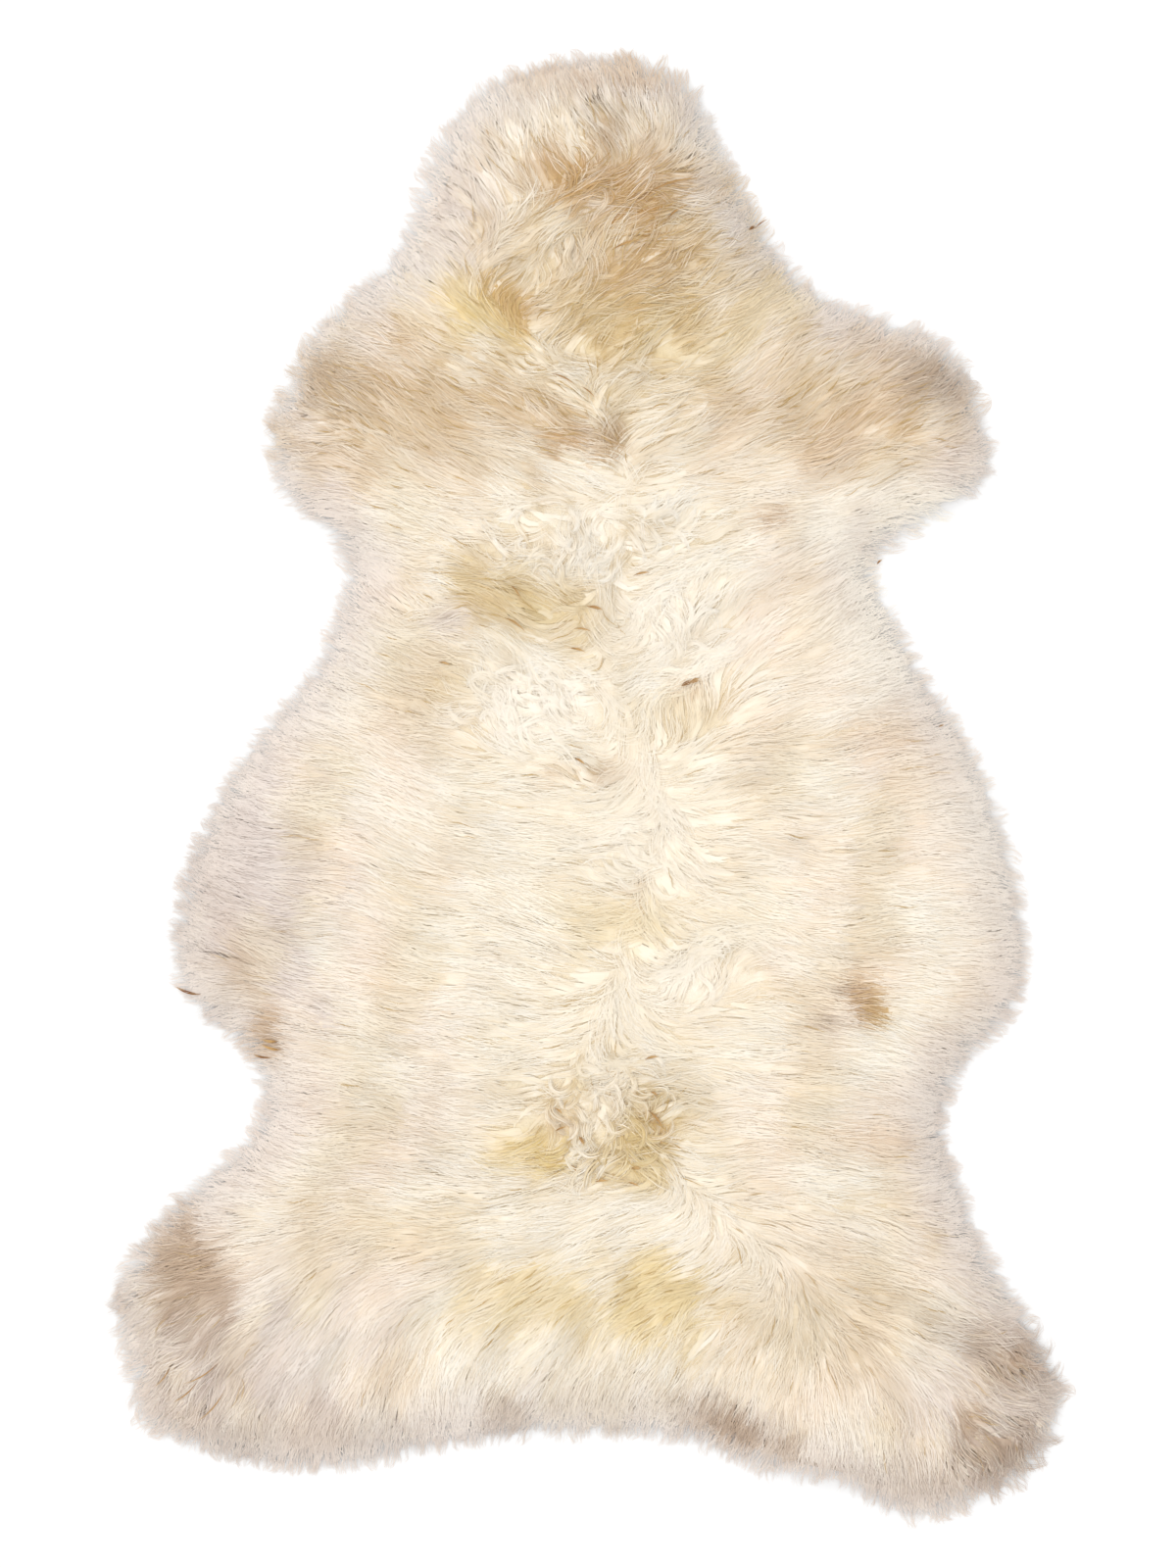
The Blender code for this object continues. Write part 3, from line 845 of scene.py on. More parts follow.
    def heading(self, places: Array) -> Array:
        """The angle at which the wool lies: combed lie, pulled outwards at the rim, then turned.

        Args:
            places: x and y of each place, on the last axis.

        Returns:
            Radians from +X for each place.
        """
        lie = self._combed_lie(places, True)
        pull = self.rim_pull * np.exp(-np.maximum(self.depth(places), 0.0) / self.rim_turn)
        lie = lie * (1.0 - pull[..., None]) + self.outward(places) * pull[..., None]
        turn, curl = self.whorl(places)
        turn += curl * self.curl_turn * ripple(places, self.curl_length, Seed.CURL_TURN)
        turn += self.ripple_turn * ripple(places, self.ripple_length, Seed.LIE)
        turn += 0.5 * self.ripple_turn * ripple(
            places, self.fine_ripple * self.ripple_length, Seed.FINE_LIE)
        return np.arctan2(lie[..., 1], lie[..., 0]) + turn

    def tones(self, places: Array) -> Array:
        """How strongly each tone shows.

        Each patch is an uneven ellipse with a soft edge. Lilac is painted towards the rim, as
        the shade there, and peach and olive come and go in smooth ripples.

        Args:
            places: x and y of each place.

        Returns:
            A share from 0 to 1 for each place and tone.
        """
        found = np.zeros((len(places), len(Tone)))
        long, short = self.patch_ripples
        stray = self.patch_wander * ripple(places, long, Seed.PATCH_EDGE)
        stray = stray + 0.5 * self.patch_wander * ripple(places, short, Seed.FINE_PATCH_EDGE)
        rim = smooth_step(self.depth(places) * (1.0 - 0.5 * stray), *self.lilac_depths)
        found[:, Tone.LILAC] = self.lilac_share * rim
        blush = 0.5 + 0.5 * ripple(places, self.blush_length, Seed.BLUSH)
        away = smooth_step(np.abs(places[:, 0] - self.spine_x), *self.side_band)
        found[:, Tone.PEACH] = self.blush_share * away * np.clip(blush, 0.0, 1.0)
        mottle = np.clip(ripple(places, self.olive_length, Seed.MOTTLE) + stray, 0.0, 1.0)
        found[:, Tone.OLIVE] = self.olive_share * away * (1.0 - rim) * mottle
        for row in PATCHES:
            reach = np.sqrt(from_centre(places, row, row.tilt)) + stray
            share = row.strength * smooth_step(reach, *self.patch_edge)
            found[:, row.tone] = np.maximum(found[:, row.tone], share)
        return found


# ---- Meshes ------------------------------------------------------------------------------

def new_mesh(name: str, points: Array, corners: Indices, sizes: Indices) -> Any:
    """A mesh object at the origin from whole arrays.

    Args:
        name: the piece's name.
        points: its vertices, in the tables' places.
        corners: the vertex of each face corner, face after face.
        sizes: how many corners each face has.

    Returns:
        The new object, linked to the scene.
    """
    mesh = bpy.data.meshes.new(name)
    mesh.vertices.add(len(points))
    mesh.vertices.foreach_set("co", (points + PLACE_SHIFT).ravel())
    mesh.loops.add(len(corners))
    mesh.loops.foreach_set("vertex_index", corners.astype(np.int32))
    mesh.polygons.add(len(sizes))
    starts = np.concatenate([[0], np.cumsum(sizes)[:-1]])
    mesh.polygons.foreach_set("loop_start", starts.astype(np.int32))
    mesh.update(calc_edges=True)
    mesh.shade_smooth()
    item = bpy.data.objects.new(name, mesh)
    bpy.context.scene.collection.objects.link(item)
    return item


def grid_faces(rows: int, columns: int, first: int = 0) -> Indices:
    """The four corners of each cell of a grid of points, counterclockwise seen from above.

    Args:
        rows: rows of points.
        columns: points in each row.
        first: the index of the grid's first point.

    Returns:
        An array of cells x 4.
    """
    index = first + np.arange(rows * columns).reshape(rows, columns)
    return np.stack([index[:-1, :-1], index[:-1, 1:], index[1:, 1:], index[1:, :-1]],
                    axis=-1).reshape(-1, 4)


def closed_shell(name: str, top: Array, bottom: Array) -> Any:
    """A closed body between an upper and a lower grid of the same size, walled round the rim.

    Args:
        name: the piece's name.
        top: the upper grid, rows x columns x 3.
        bottom: the lower grid, of the same size.

    Returns:
        The new object.
    """
    rows, columns = top.shape[:2]
    count = rows * columns
    upper = grid_faces(rows, columns)
    lower = grid_faces(rows, columns, count)[:, ::-1]
    index = np.arange(count).reshape(rows, columns)
    rim = np.concatenate([index[0, :-1], index[:-1, -1], index[-1, :0:-1], index[:0:-1, 0]])
    after = np.roll(rim, -1)
    wall = np.stack([rim, rim + count, after + count, after], axis=-1)
    corners = np.concatenate([upper, lower, wall])
    points = np.concatenate([top.reshape(-1, 3), bottom.reshape(-1, 3)])
    return new_mesh(name, points, corners.ravel(), np.full(len(corners), 4))


def add_colours(item: Any, name: str, values: Array) -> None:
    """Store four numbers at each vertex, for the material to read by name.

    Args:
        item: the mesh object.
        name: the attribute's name.
        values: an array of vertices x 4.
    """
    layer = item.data.attributes.new(name, "FLOAT_COLOR", "POINT")
    layer.data.foreach_set("color", values.astype(np.float32).ravel())


def add_tones(item: Any, tones: Array) -> None:
    """Store the eight tones at each vertex, the first four as patches and the rest as touches."""
    add_colours(item, "patches", tones[:, :4])
    add_colours(item, "touches", tones[:, 4:])


@dataclass
class Strands:
    """Strands of wool as flat ribbons that taper to a point, one array row for each strand."""

    centres: Array
    widths: Array
    rolls: Array
    shades: Array
    seeds: Array
    tones: Array
    begins: Array
    waist: float = 0.42
    root_share: float = 0.35
    cell_shape: float = 6.0
    cell_margin: float = 0.12

    def _sides(self) -> Array:
        """Half the ribbon's width at each station, as a vector.

        The ribbon lies level across its path, rolled about it by its angle at each station. Its
        width grows from the root to the waist and then falls evenly to nothing at the tip.

        Returns:
            An array of strands x stations x 3.
        """
        path = self.centres
        tangent = unit(np.gradient(path, axis=1))
        level = unit(np.stack([tangent[..., 1], -tangent[..., 0], 0.0 * tangent[..., 0]], axis=-1))
        upright = np.cross(level, tangent)
        roll = self.rolls[..., None]
        side = level * np.cos(roll) + upright * np.sin(roll)
        t = np.linspace(0.0, 1.0, path.shape[1])
        growth = rise_from(self.root_share, smooth_step(t, 0.0, self.waist))
        taper = np.sqrt(np.clip(1.0 - smooth_step(t, self.waist, 1.0), 0.0, 1.0))
        return side * (0.5 * self.widths[:, None] * growth * taper)[..., None]

    def build(self, name: str) -> Any:
        """Make the ribbons: four-cornered cells along each strand and a triangle at its tip.

        Args:
            name: the piece's name.

        Returns:
            The new object, with its own UV map and the attributes that its material reads.
        """
        count, stations = self.centres.shape[:2]
        sides = self._sides()
        pairs = np.stack([self.centres - sides, self.centres + sides], axis=2)[:, :-1]
        ribbons = pairs.reshape(count, -1, 3)
        points = np.concatenate([ribbons, self.centres[:, -1:]], axis=1)
        size = points.shape[1]

        step = 2 * np.arange(stations - 2)[:, None]
        cells = (step + np.array([0, 1, 3, 2])).ravel()
        tip = np.array([size - 3, size - 2, size - 1])
        one = np.concatenate([cells, tip])
        corners = (np.arange(count)[:, None] * size + one).ravel()
        sizes = np.tile(np.array([4] * (stations - 2) + [3]), count)
        item = new_mesh(name, points.reshape(-1, 3), corners, sizes)

        along = np.repeat(np.linspace(0.0, 1.0, stations), 2)[:-1]
        across = np.append(np.tile([0.0, 1.0], stations - 1), 0.5)
        self._add_map(item, one, along, across)
        shown = rise_from(self.begins[:, None], along)
        strand = np.stack(np.broadcast_arrays(
            shown, across, self.shades[:, None], self.seeds[:, None]), axis=-1)
        add_colours(item, "strand", strand.reshape(-1, 4))
        add_tones(item, np.repeat(self.tones, 2, axis=1)[:, :-1].reshape(-1, len(Tone)))
        return item

    def _add_map(self, item: Any, one: Indices, along: Array, across: Array) -> None:
        """Lay each strand upright in a cell of its own, so that a baked picture holds them all.

        Args:
            item: the mesh object.
            one: the corners of one strand's faces.
            along: the share of the strand's length at each of its points.
            across: the share of its width.
        """
        count = len(self.centres)
        rows = max(1, round(math.sqrt(count / self.cell_shape)))
        columns = math.ceil(count / rows)
        cell = np.arange(count)
        inner = 1.0 - 2.0 * self.cell_margin
        u = (cell % columns)[:, None] + self.cell_margin + inner * across
        v = (cell // columns)[:, None] + self.cell_margin * 0.5 + (1.0 - self.cell_margin) * along
        places = np.stack([u / columns, v / rows], axis=-1)[:, one]
        layer = item.data.uv_layers.new(name="OFBake")
        layer.uv.foreach_set("vector", places.astype(np.float32).ravel())


@dataclass(frozen=True)
class LockStyle:
    """How one kind of lock grows. Angles are in radians, sizes in metres."""

    spacing: float
    strands: int
    stations: int
    lengths: tuple[float, float]
    radius: float
    widths: tuple[float, float]
    gather: float = 0.3             # how far a lock closes up towards its tip
    turn_spread: float = 0.12
    bend_spread: float = 0.3
    sway: float = 0.18
    waves: float = 1.2              # how often it sways to and fro along the lock
    stray: float = 0.48             # how far roots lie off their rows, as a share of the spacing
    curl_bend: float = 3.2
    root_lift: float = 0.86         # the root's height, as a share of the coat's
    lift_end: float = 0.35          # where along the lock it has risen to all of it
    tip_dip: float = 0.03
    layer: float = 2.4 * MM         # how deep the lowest strands of a tousled lock lie
    crown: float = 1.0 * MM         # how far a lock is higher in its middle
    rolls: float = 0.12
    sink: float = 0.0
    reach: float = 14.0 * MM        # how far past the outline a strand can get at most
    wander: float = 1.6 * MM        # how far a strand swings from side to side
    height_spread: float = 0.5 * MM
    centring: float = 0.0           # how far a lock is moved back over its root
    spine_centring: float = 0.4     # the same on the spine
    hook: float = 0.0               # how far the tips of the tightest curls turn back
    hidden_root: float = 0.4        # how much of a smooth strand has the look of a covered root
    tone_spread: float = 0.18       # how unevenly the strands of tousled wool take on the tones
    toned: float = 1.0              # how far they take them on at all


@dataclass
class LockGrower:
    """Grows locks of strands over the coat. Every share counts from root to tip."""

    coat: Coat
    style: LockStyle
    seed: int
    row_pitch: float = math.sqrt(0.75)      # from row to row of roots, in spacings
    crown_reach: float = 7.0 * MM           # the wool on the crown stands forward over the rim
    crown_band: tuple[float, float] = (460.0 * MM, 530.0 * MM)
    least_room: float = 6.0 * MM            # no lock is cut shorter
    least_towards: float = 0.5              # the least that a lock counts as running outwards
    tip_slack: float = 5.0 * MM             # how far past its room a lock may still end
    hand_length: float = 34.0 * MM          # how far apart the curls turn the other way
    curl_strengths: tuple[float, float] = (0.45, 1.0)
    curl_shortening: float = 0.3
    bend_middle: float = 0.25               # the share at which a lock's bend is nil
    hook_start: float = 0.4
    most_back: float = 0.5                  # how far back over its root a lock may be moved
    starts: tuple[float, float] = (0.0, 0.25)
    ends: tuple[float, float] = (0.72, 1.0)
    late_ends: float = 0.7                  # a power, so that more strands reach the tip
    closing: float = 1.2                    # a power, so that a lock closes late
    drift_waves: float = 1.6
    shallow: float = 1.5                    # a power, so that few strands lie deep
    smooth_layer: float = 0.12              # what smooth wool keeps of a layer's depth
    smooth_crown: float = 0.3               # and of a lock's height in its middle
    dip_start: float = 0.7
    rim_fade: float = 24.0 * MM
    clump_length: float = 38.0 * MM
    shade_parts: tuple[float, float, float] = (0.25, 0.35, 0.4)     # by clump, lock and strand
    # how much warmer deep strands are made, as painted shade deep in the wool
    deep_warmth: float = 0.7
    shade_gain: float = 1.25
    shade_offset: float = 0.45
    tone_share: float = 0.4                 # how far one place lends its tones to the strand
    tone_place: float = 0.6                 # where on the strand that place is
    tone_stray: float = 4.0 * MM
    strongest_tones: float = 1.8
    slope_reach: float = 2.0 * MM
    bare_roots: float = 1.3                 # where the wool is this tousled, all roots show
    rng: np.random.Generator = field(init=False)

    def __post_init__(self) -> None:
        """Start the random numbers."""
        self.rng = np.random.default_rng(self.seed)

    def roots(self, nearest: float, deepest: float) -> Array:
        """Uneven hexagonal places for the locks' roots.

        Args:
            nearest: how near the outline a root may be.
            deepest: how far inside it may be.

        Returns:
            x and y of each root.
        """
        outline, spacing = self.coat.pelt.line(), self.style.spacing
        places = uneven_rows(self.rng, outline, spacing, spacing * self.row_pitch,
                             self.style.stray)
        depth = self.coat.depth(places)
        return places[(depth > nearest) & (depth < deepest)]

    def paths(self, roots: Array, overhang: tuple[float, float]) -> Array:
        """Walk each lock from its root along the lie of the wool.

        At each step the heading is the coat's lie there, plus the lock's own turn, a bend that
        grows along it and a sway that swings to and fro. A lock that would reach past the
        outline is shortened to end near it, and one that turns out into a notch is drawn back.
        On the spine the path is then moved back along itself, so that locks from both sides
        cross over the parting.

        Args:
            roots: x and y of each root.
            overhang: the least and the most that a tip may lie past the outline.

        Returns:
            An array of locks x stations x 2.
        """
        style, rng, coat, count = self.style, self.rng, self.coat, len(roots)
        _, curl = coat.whorl(roots)
        rough = coat.tousle(roots)
        turn = rng.normal(0.0, style.turn_spread, count) * (rough + curl)
        hand = np.sign(ripple(roots, self.hand_length, Seed.HAND))
        bend = rng.normal(0.0, style.bend_spread, count) * rough
        bend += curl * hand * rng.uniform(*self.curl_strengths, count) * style.curl_bend
        phase = rng.uniform(0.0, 2.0 * math.pi, count)
        length = rng.uniform(*style.lengths, count) * (1.0 - self.curl_shortening * curl)

        towards = (ways(coat.heading(roots)) * coat.outward(roots)).sum(axis=1)
        towards = np.maximum(towards, self.least_towards)
        room = coat.depth(roots) + rng.uniform(*overhang, count)
        room += self.crown_reach * smooth_step(roots[:, 1], *self.crown_band)
        length = np.minimum(length, np.maximum(room, self.least_room) / towards)

        step = length / (style.stations - 1)
        path = [roots]
        for station in range(1, style.stations):
            share = (station - 0.5) / (style.stations - 1)
            angle = coat.heading(path[-1]) + turn + bend * (share - self.bend_middle)
            angle += style.sway * np.sin(2.0 * math.pi * style.waves * share + phase)
            angle += style.hook * curl * hand * max(0.0, share - self.hook_start)
            path.append(path[-1] + ways(angle) * step[:, None])
        paths = np.stack(path, axis=1)
        allowed = np.maximum(room, self.least_room) + self.tip_slack
        run = coat.depth(roots) - coat.depth(paths[:, -1])
        fit = allowed / np.maximum(run, allowed)
        paths = roots[:, None] + (paths - roots[:, None]) * fit[:, None, None]
        back = style.centring + style.spine_centring * coat.near_spine(roots)
        back = np.minimum(back, self.most_back)
        return paths - (paths[:, -1:] - paths[:, :1]) * back[:, None, None]

    def _share_out(self, paths: Array, count: int) -> tuple[Array, Array]:
        """Give each strand its own stretch of its lock's path.

        Args:
            paths: the path of each strand's lock, strands x stations x 2.
            count: how many strands there are.

        Returns:
            The share of the lock's path at each station of a strand, and the places there.
        """
        start = self.rng.uniform(*self.starts, count)
        end = self.rng.uniform(*self.ends, count) ** self.late_ends
        last = self.style.stations - 1
        share = start[:, None] + (end - start)[:, None] * np.linspace(0.0, 1.0, last + 1)
        low = np.minimum((share * last).astype(int), last - 1)
        part = (share * last - low)[..., None]
        row = np.arange(count)[:, None]
        return share, paths[row, low] * (1.0 - part) + paths[row, low + 1] * part

    def strands(self, paths: Array) -> Strands:
        """Fill each lock with strands that start spread out and close up towards its tip.

        A strand follows its lock's path between two shares of its own. Its offset from the path
        shrinks from the lock's radius at the root to a small share at the tip. Its height is a
        share of the coat's height there, which rises from the root, dips at the tip, is highest
        in the middle of the lock, and is lowered by the layer that the strand lies in. Lower
        strands are painted warmer, as painted shade deep in the wool. Past the outline a strand
        reaches only so far, by a soft limit.

        Args:
            paths: locks x stations x 2.

        Returns:
            The strands.
        """
        style, rng, coat = self.style, self.rng, self.coat
        locks = len(paths)
        lock = np.repeat(np.arange(locks), style.strands)
        count = len(lock)
        share, path = self._share_out(paths[lock], count)

        tangent = unit(np.gradient(path, axis=1))
        normal = np.stack([-tangent[..., 1], tangent[..., 0]], axis=-1)
        aside = rng.uniform(-1.0, 1.0, count)[:, None]
        close = 1.0 - style.gather * share ** self.closing
        swing = 2.0 * math.pi * self.drift_waves * share
        swing = swing + rng.uniform(0.0, 2.0 * math.pi, count)[:, None]
        offset = aside * style.radius * close + style.wander * np.sin(swing) * share
        plan = path + normal * offset[..., None]
        past = np.maximum(-coat.depth(plan), 0.0)
        excess = past - style.reach * np.tanh(past / style.reach)
        plan = plan - coat.outward(plan) * excess[..., None]

        rough = coat.tousle(paths[:, 0])[lock]
        height = rng.normal(0.0, style.height_spread, locks)[lock] * rough
        deep = rng.uniform(0.0, 1.0, count) ** self.shallow
        height = height - deep * style.layer * rise_from(self.smooth_layer, rough)
        crown = style.crown * rise_from(self.smooth_crown, rough)[:, None]
        height = height[:, None] + crown * (1.0 - aside ** 2) * close - style.sink
        lift = rise_from(style.root_lift, smooth_step(share, 0.0, style.lift_end))
        lift = lift - style.tip_dip * smooth_step(share, self.dip_start, 1.0)
        height = coat.top(plan) * lift + smooth_step(coat.depth(plan), 0.0, self.rim_fade) * height

        by_clump, by_lock, by_strand = self.shade_parts
        mix = by_clump * (0.5 + 0.5 * ripple(paths[:, 0], self.clump_length, Seed.CLUMP)[lock])
        mix = mix + by_lock * rng.uniform(0.0, 1.0, locks)[lock]
        # painted shade: the deeper a strand lies, the warmer its colour
        mix = (mix + by_strand * rng.uniform(0.0, 1.0, count)) * (1.0 - self.deep_warmth * deep)
        shade = 0.5 + (self.shade_gain * mix - self.shade_offset) * rough
        middle = plan[:, int(self.tone_place * style.stations), None]
        seen = (1.0 - self.tone_share) * plan + self.tone_share * middle
        seen = seen + rng.normal(0.0, self.tone_stray, (count, 1, 2))
        tones = coat.tones(seen.reshape(-1, 2)).reshape(count, style.stations, -1)
        own = 1.0 + style.tone_spread * rough * rng.normal(0.0, 1.0, count)
        own = np.clip(own, 0.0, self.strongest_tones)
        widths = rng.uniform(*style.widths, count)
        slope = coat.slope(plan, -normal, self.slope_reach + 0.5 * float(widths.max()))
        return Strands(
            centres=np.dstack([plan, np.maximum(height, coat.least_height)]),
            widths=widths,
            rolls=slope + (rough * rng.uniform(-style.rolls, style.rolls, count))[:, None],
            shades=np.clip(shade, 0.0, 1.0),
            seeds=rng.uniform(0.0, 1.0, count),
            tones=np.clip(tones * own[:, None, None], 0.0, 1.0) * style.toned,
            begins=style.hidden_root * np.clip(self.bare_roots - rough, 0.0, 1.0),
        )


# ---- Finishes ----------------------------------------------------------------------------

def linear(hex_colour: str) -> tuple[float, float, float, float]:
    """An sRGB hex colour as linear light: c / 12.92 up to 0.04045, else a power of 2.4.

    Args:
        hex_colour: six hex digits after a hash.

    Returns:
        Red, green, blue and an alpha of 1.
    """
    parts = [int(hex_colour[k:k + 2], 16) / 255.0 for k in (1, 3, 5)]
    light = [c / 12.92 if c <= 0.04045 else ((c + 0.055) / 1.055) ** 2.4 for c in parts]
    return (*light, 1.0)


def set_inputs(tree: Any, node: Any, inputs: dict[Any, Any]) -> None:
    """Link or set a node's inputs.

    Args:
        tree: the material's node tree.
        node: the node.
        inputs: another node's output, a hex colour or a value for each input, by name or index.
    """
    for key, value in inputs.items():
        if isinstance(value, bpy.types.NodeSocket):
            tree.links.new(value, node.inputs[key])
        else:
            node.inputs[key].default_value = linear(value) if isinstance(value, str) else value


def add_node(tree: Any, kind: str, inputs: dict[Any, Any] | None = None, **settings: Any) -> Any:
    """Add a shader node with its settings and links.

    Args:
        tree: the material's node tree.
        kind: the node's type, without its ShaderNode prefix.
        inputs: what its inputs are linked or set to.
        settings: the node's own properties.

    Returns:
        The new node.
    """
    node = tree.nodes.new("ShaderNode" + kind)
    for name, value in settings.items():
        setattr(node, name, value)
    set_inputs(tree, node, inputs or {})
    return node


def new_material(name: str, inputs: dict[str, Any]) -> tuple[Any, Any, Any]:
    """A Principled material.

    Args:
        name: the material's name.
        inputs: what the shader's inputs are set to.

    Returns:
        The material, its node tree and its shader.
    """
    material = bpy.data.materials.new(name)
    material.use_nodes = True
    tree = material.node_tree
    shader = tree.nodes["Principled BSDF"]
    set_inputs(tree, shader, inputs)
    return material, tree, shader


MIX_FACTOR, MIX_A, MIX_B, MIX_RESULT = 0, 6, 7, 2   # sockets of a colour Mix node


@dataclass(frozen=True)
class ToneColours:
    """The colour of each tone, mixed over the wool's own in this order."""

    peach: str = "#FAE4D0"
    # also the colour of the painted shade at the rim
    lilac: str = "#E6DAD2"
    yellow: str = "#E9D08E"
    olive: str = "#DCC594"
    tan: str = "#C99F63"
    grey: str = "#AE947E"
    white: str = "#FFF7E9"
    rust: str = "#82502C"

    def mix(self, tree: Any, colour: Any) -> Any:
        """Mix the tones over a colour by the shares that are stored on the wool.

        Args:
            tree: the material's node tree.
            colour: the output that they go over.

        Returns:
            The output with all of them.
        """
        shares: list[Any] = []
        for name in ("patches", "touches"):
            stored = add_node(tree, "Attribute", attribute_name=name)
            parts = add_node(tree, "SeparateColor", {0: stored.outputs["Color"]})
            shares += [*parts.outputs[:3], stored.outputs["Alpha"]]
        for tone in fields(self):
            mixed = add_node(tree, "Mix", {
                MIX_FACTOR: shares[Tone[tone.name.upper()]], MIX_A: colour,
                MIX_B: getattr(self, tone.name)}, data_type="RGBA")
            colour = mixed.outputs[MIX_RESULT]
        return colour


@dataclass(frozen=True)
class CombedWool:
    """Long wool, washed, combed and undyed: silky cream strands, warmer towards the skin,
    with painted shade in the roots and deep strands.
    """

    name: str
    fibres: float               # how many fibres are drawn across a strand
    contrast: float             # how far the drawn fibres are lighter or darker
    # the yellower wool by the skin, made darker also as painted shade where the gaps show roots
    root: str = "#E3CDA4"
    warm: str = "#F2E4CA"
    body: str = "#FEF7EA"
    tip: str = "#FEFAF1"
    tones: ToneColours = ToneColours()
    roughness: float = 0.62
    streak: float = 2.5         # how many times a fibre's tone changes along the strand
    apart: float = 97.0         # keeps the noise of one strand apart from the next strand's
    relief: float = 0.25 * MM   # the round of the fibres, drawn on the flat ribbon
    root_end: float = 0.45      # where along the strand the root's colour has gone
    tip_start: float = 0.55     # and where the tip's begins
    sheen: str = "#FFF0DA"

    def material(self) -> Any:
        """Mix the wool's colours by the strand's own attributes.

        Along a strand the colour goes from root to body to tip, and the strand's own shade
        makes its body warmer or paler: it differs at random, and deep strands get it warmer as
        painted shade. The patches' tones are mixed over it. Last come the fibres, a noise drawn
        out along the strand that lightens or darkens it.

        Returns:
            The material.
        """
        material, tree, shader = new_material(self.name, {
            "Roughness": self.roughness,
            "Specular IOR Level": 0.25,
            "Sheen Weight": 0.1,
            "Sheen Roughness": 0.4,
            "Sheen Tint": self.sheen,
        })
        strand = add_node(tree, "Attribute", attribute_name="strand")
        parts = add_node(tree, "SeparateColor", {0: strand.outputs["Color"]})
        along, across, own = parts.outputs

        body = add_node(tree, "Mix", {MIX_FACTOR: own, MIX_A: self.warm, MIX_B: self.body},
                        data_type="RGBA")
        rise = add_node(tree, "MapRange", {
            "Value": along, "From Min": 0.0, "From Max": self.root_end},
            interpolation_type="SMOOTHSTEP")
        end = add_node(tree, "MapRange", {
            "Value": along, "From Min": self.tip_start, "From Max": 1.0},
            interpolation_type="SMOOTHSTEP")
        lower = add_node(tree, "Mix", {
            MIX_FACTOR: rise.outputs[0], MIX_A: self.root, MIX_B: body.outputs[MIX_RESULT]},
            data_type="RGBA")
        whole = add_node(tree, "Mix", {
            MIX_FACTOR: end.outputs[0], MIX_A: lower.outputs[MIX_RESULT], MIX_B: self.tip},
            data_type="RGBA")
        colour = self.tones.mix(tree, whole.outputs[MIX_RESULT])

        side, run, apart = (
            add_node(tree, "Math", {0: part, 1: times}, operation="MULTIPLY").outputs[0]
            for part, times in ((across, self.fibres), (along, self.streak),
                                (strand.outputs["Alpha"], self.apart)))
        place = add_node(tree, "CombineXYZ", {0: side, 1: run, 2: apart})
        fibre = add_node(tree, "TexNoise", {
            "Vector": place.outputs[0], "Scale": 1.0, "Detail": 3.0, "Roughness": 0.6})
        value = add_node(tree, "MapRange", {
            "Value": fibre.outputs[0], "From Min": 0.25, "From Max": 0.75,
            "To Min": 1.0 - self.contrast, "To Max": 1.0 + 0.5 * self.contrast})
        finished = add_node(tree, "HueSaturation", {"Value": value.outputs[0], "Color": colour})
        bump = add_node(tree, "Bump", {
            "Height": fibre.outputs[0], "Strength": 0.3, "Distance": self.relief})
        set_inputs(tree, shader, {"Base Color": finished.outputs[0], "Normal": bump.outputs[0]})
        return material


@dataclass(frozen=True)
class MattedUnderwool:
    """The dense wool near the skin: felted, dull and warmer than the tips."""

    name: str = "matted underwool"
    deep: str = "#EBDBBD"
    pale: str = "#F3E7D0"
    roughness: float = 0.95
    fibre: float = 2.5 * MM     # width of the felted bundles
    clump: float = 22.0 * MM    # size of the lighter and darker places
    relief: float = 1.5 * MM

    def material(self) -> Any:
        """Mix two colours by a coarse and a fine noise, with the fine one as relief.

        The patches' tones go over them, as on the locks above.

        Returns:
            The material.
        """
        material, tree, shader = new_material(self.name, {
            "Roughness": self.roughness,
            "Specular IOR Level": 0.1,
        })
        place = add_node(tree, "TexCoord").outputs["Object"]
        clumps = add_node(tree, "TexNoise", {
            "Vector": place, "Scale": 1.0 / self.clump, "Detail": 2.0})
        fibres = add_node(tree, "TexNoise", {
            "Vector": place, "Scale": 1.0 / self.fibre, "Detail": 4.0, "Distortion": 1.5})
        both = add_node(tree, "Math", {0: clumps.outputs[0], 1: fibres.outputs[0]},
                        operation="MULTIPLY")
        share = add_node(tree, "MapRange", {
            "Value": both.outputs[0], "From Min": 0.12, "From Max": 0.4})
        wool = add_node(tree, "Mix", {
            MIX_FACTOR: share.outputs[0], MIX_A: self.deep, MIX_B: self.pale}, data_type="RGBA")
        colour = ToneColours().mix(tree, wool.outputs[MIX_RESULT])
        bump = add_node(tree, "Bump", {
            "Height": fibres.outputs[0], "Strength": 0.7, "Distance": self.relief})
        set_inputs(tree, shader, {"Base Color": colour, "Normal": bump.outputs[0]})
        return material


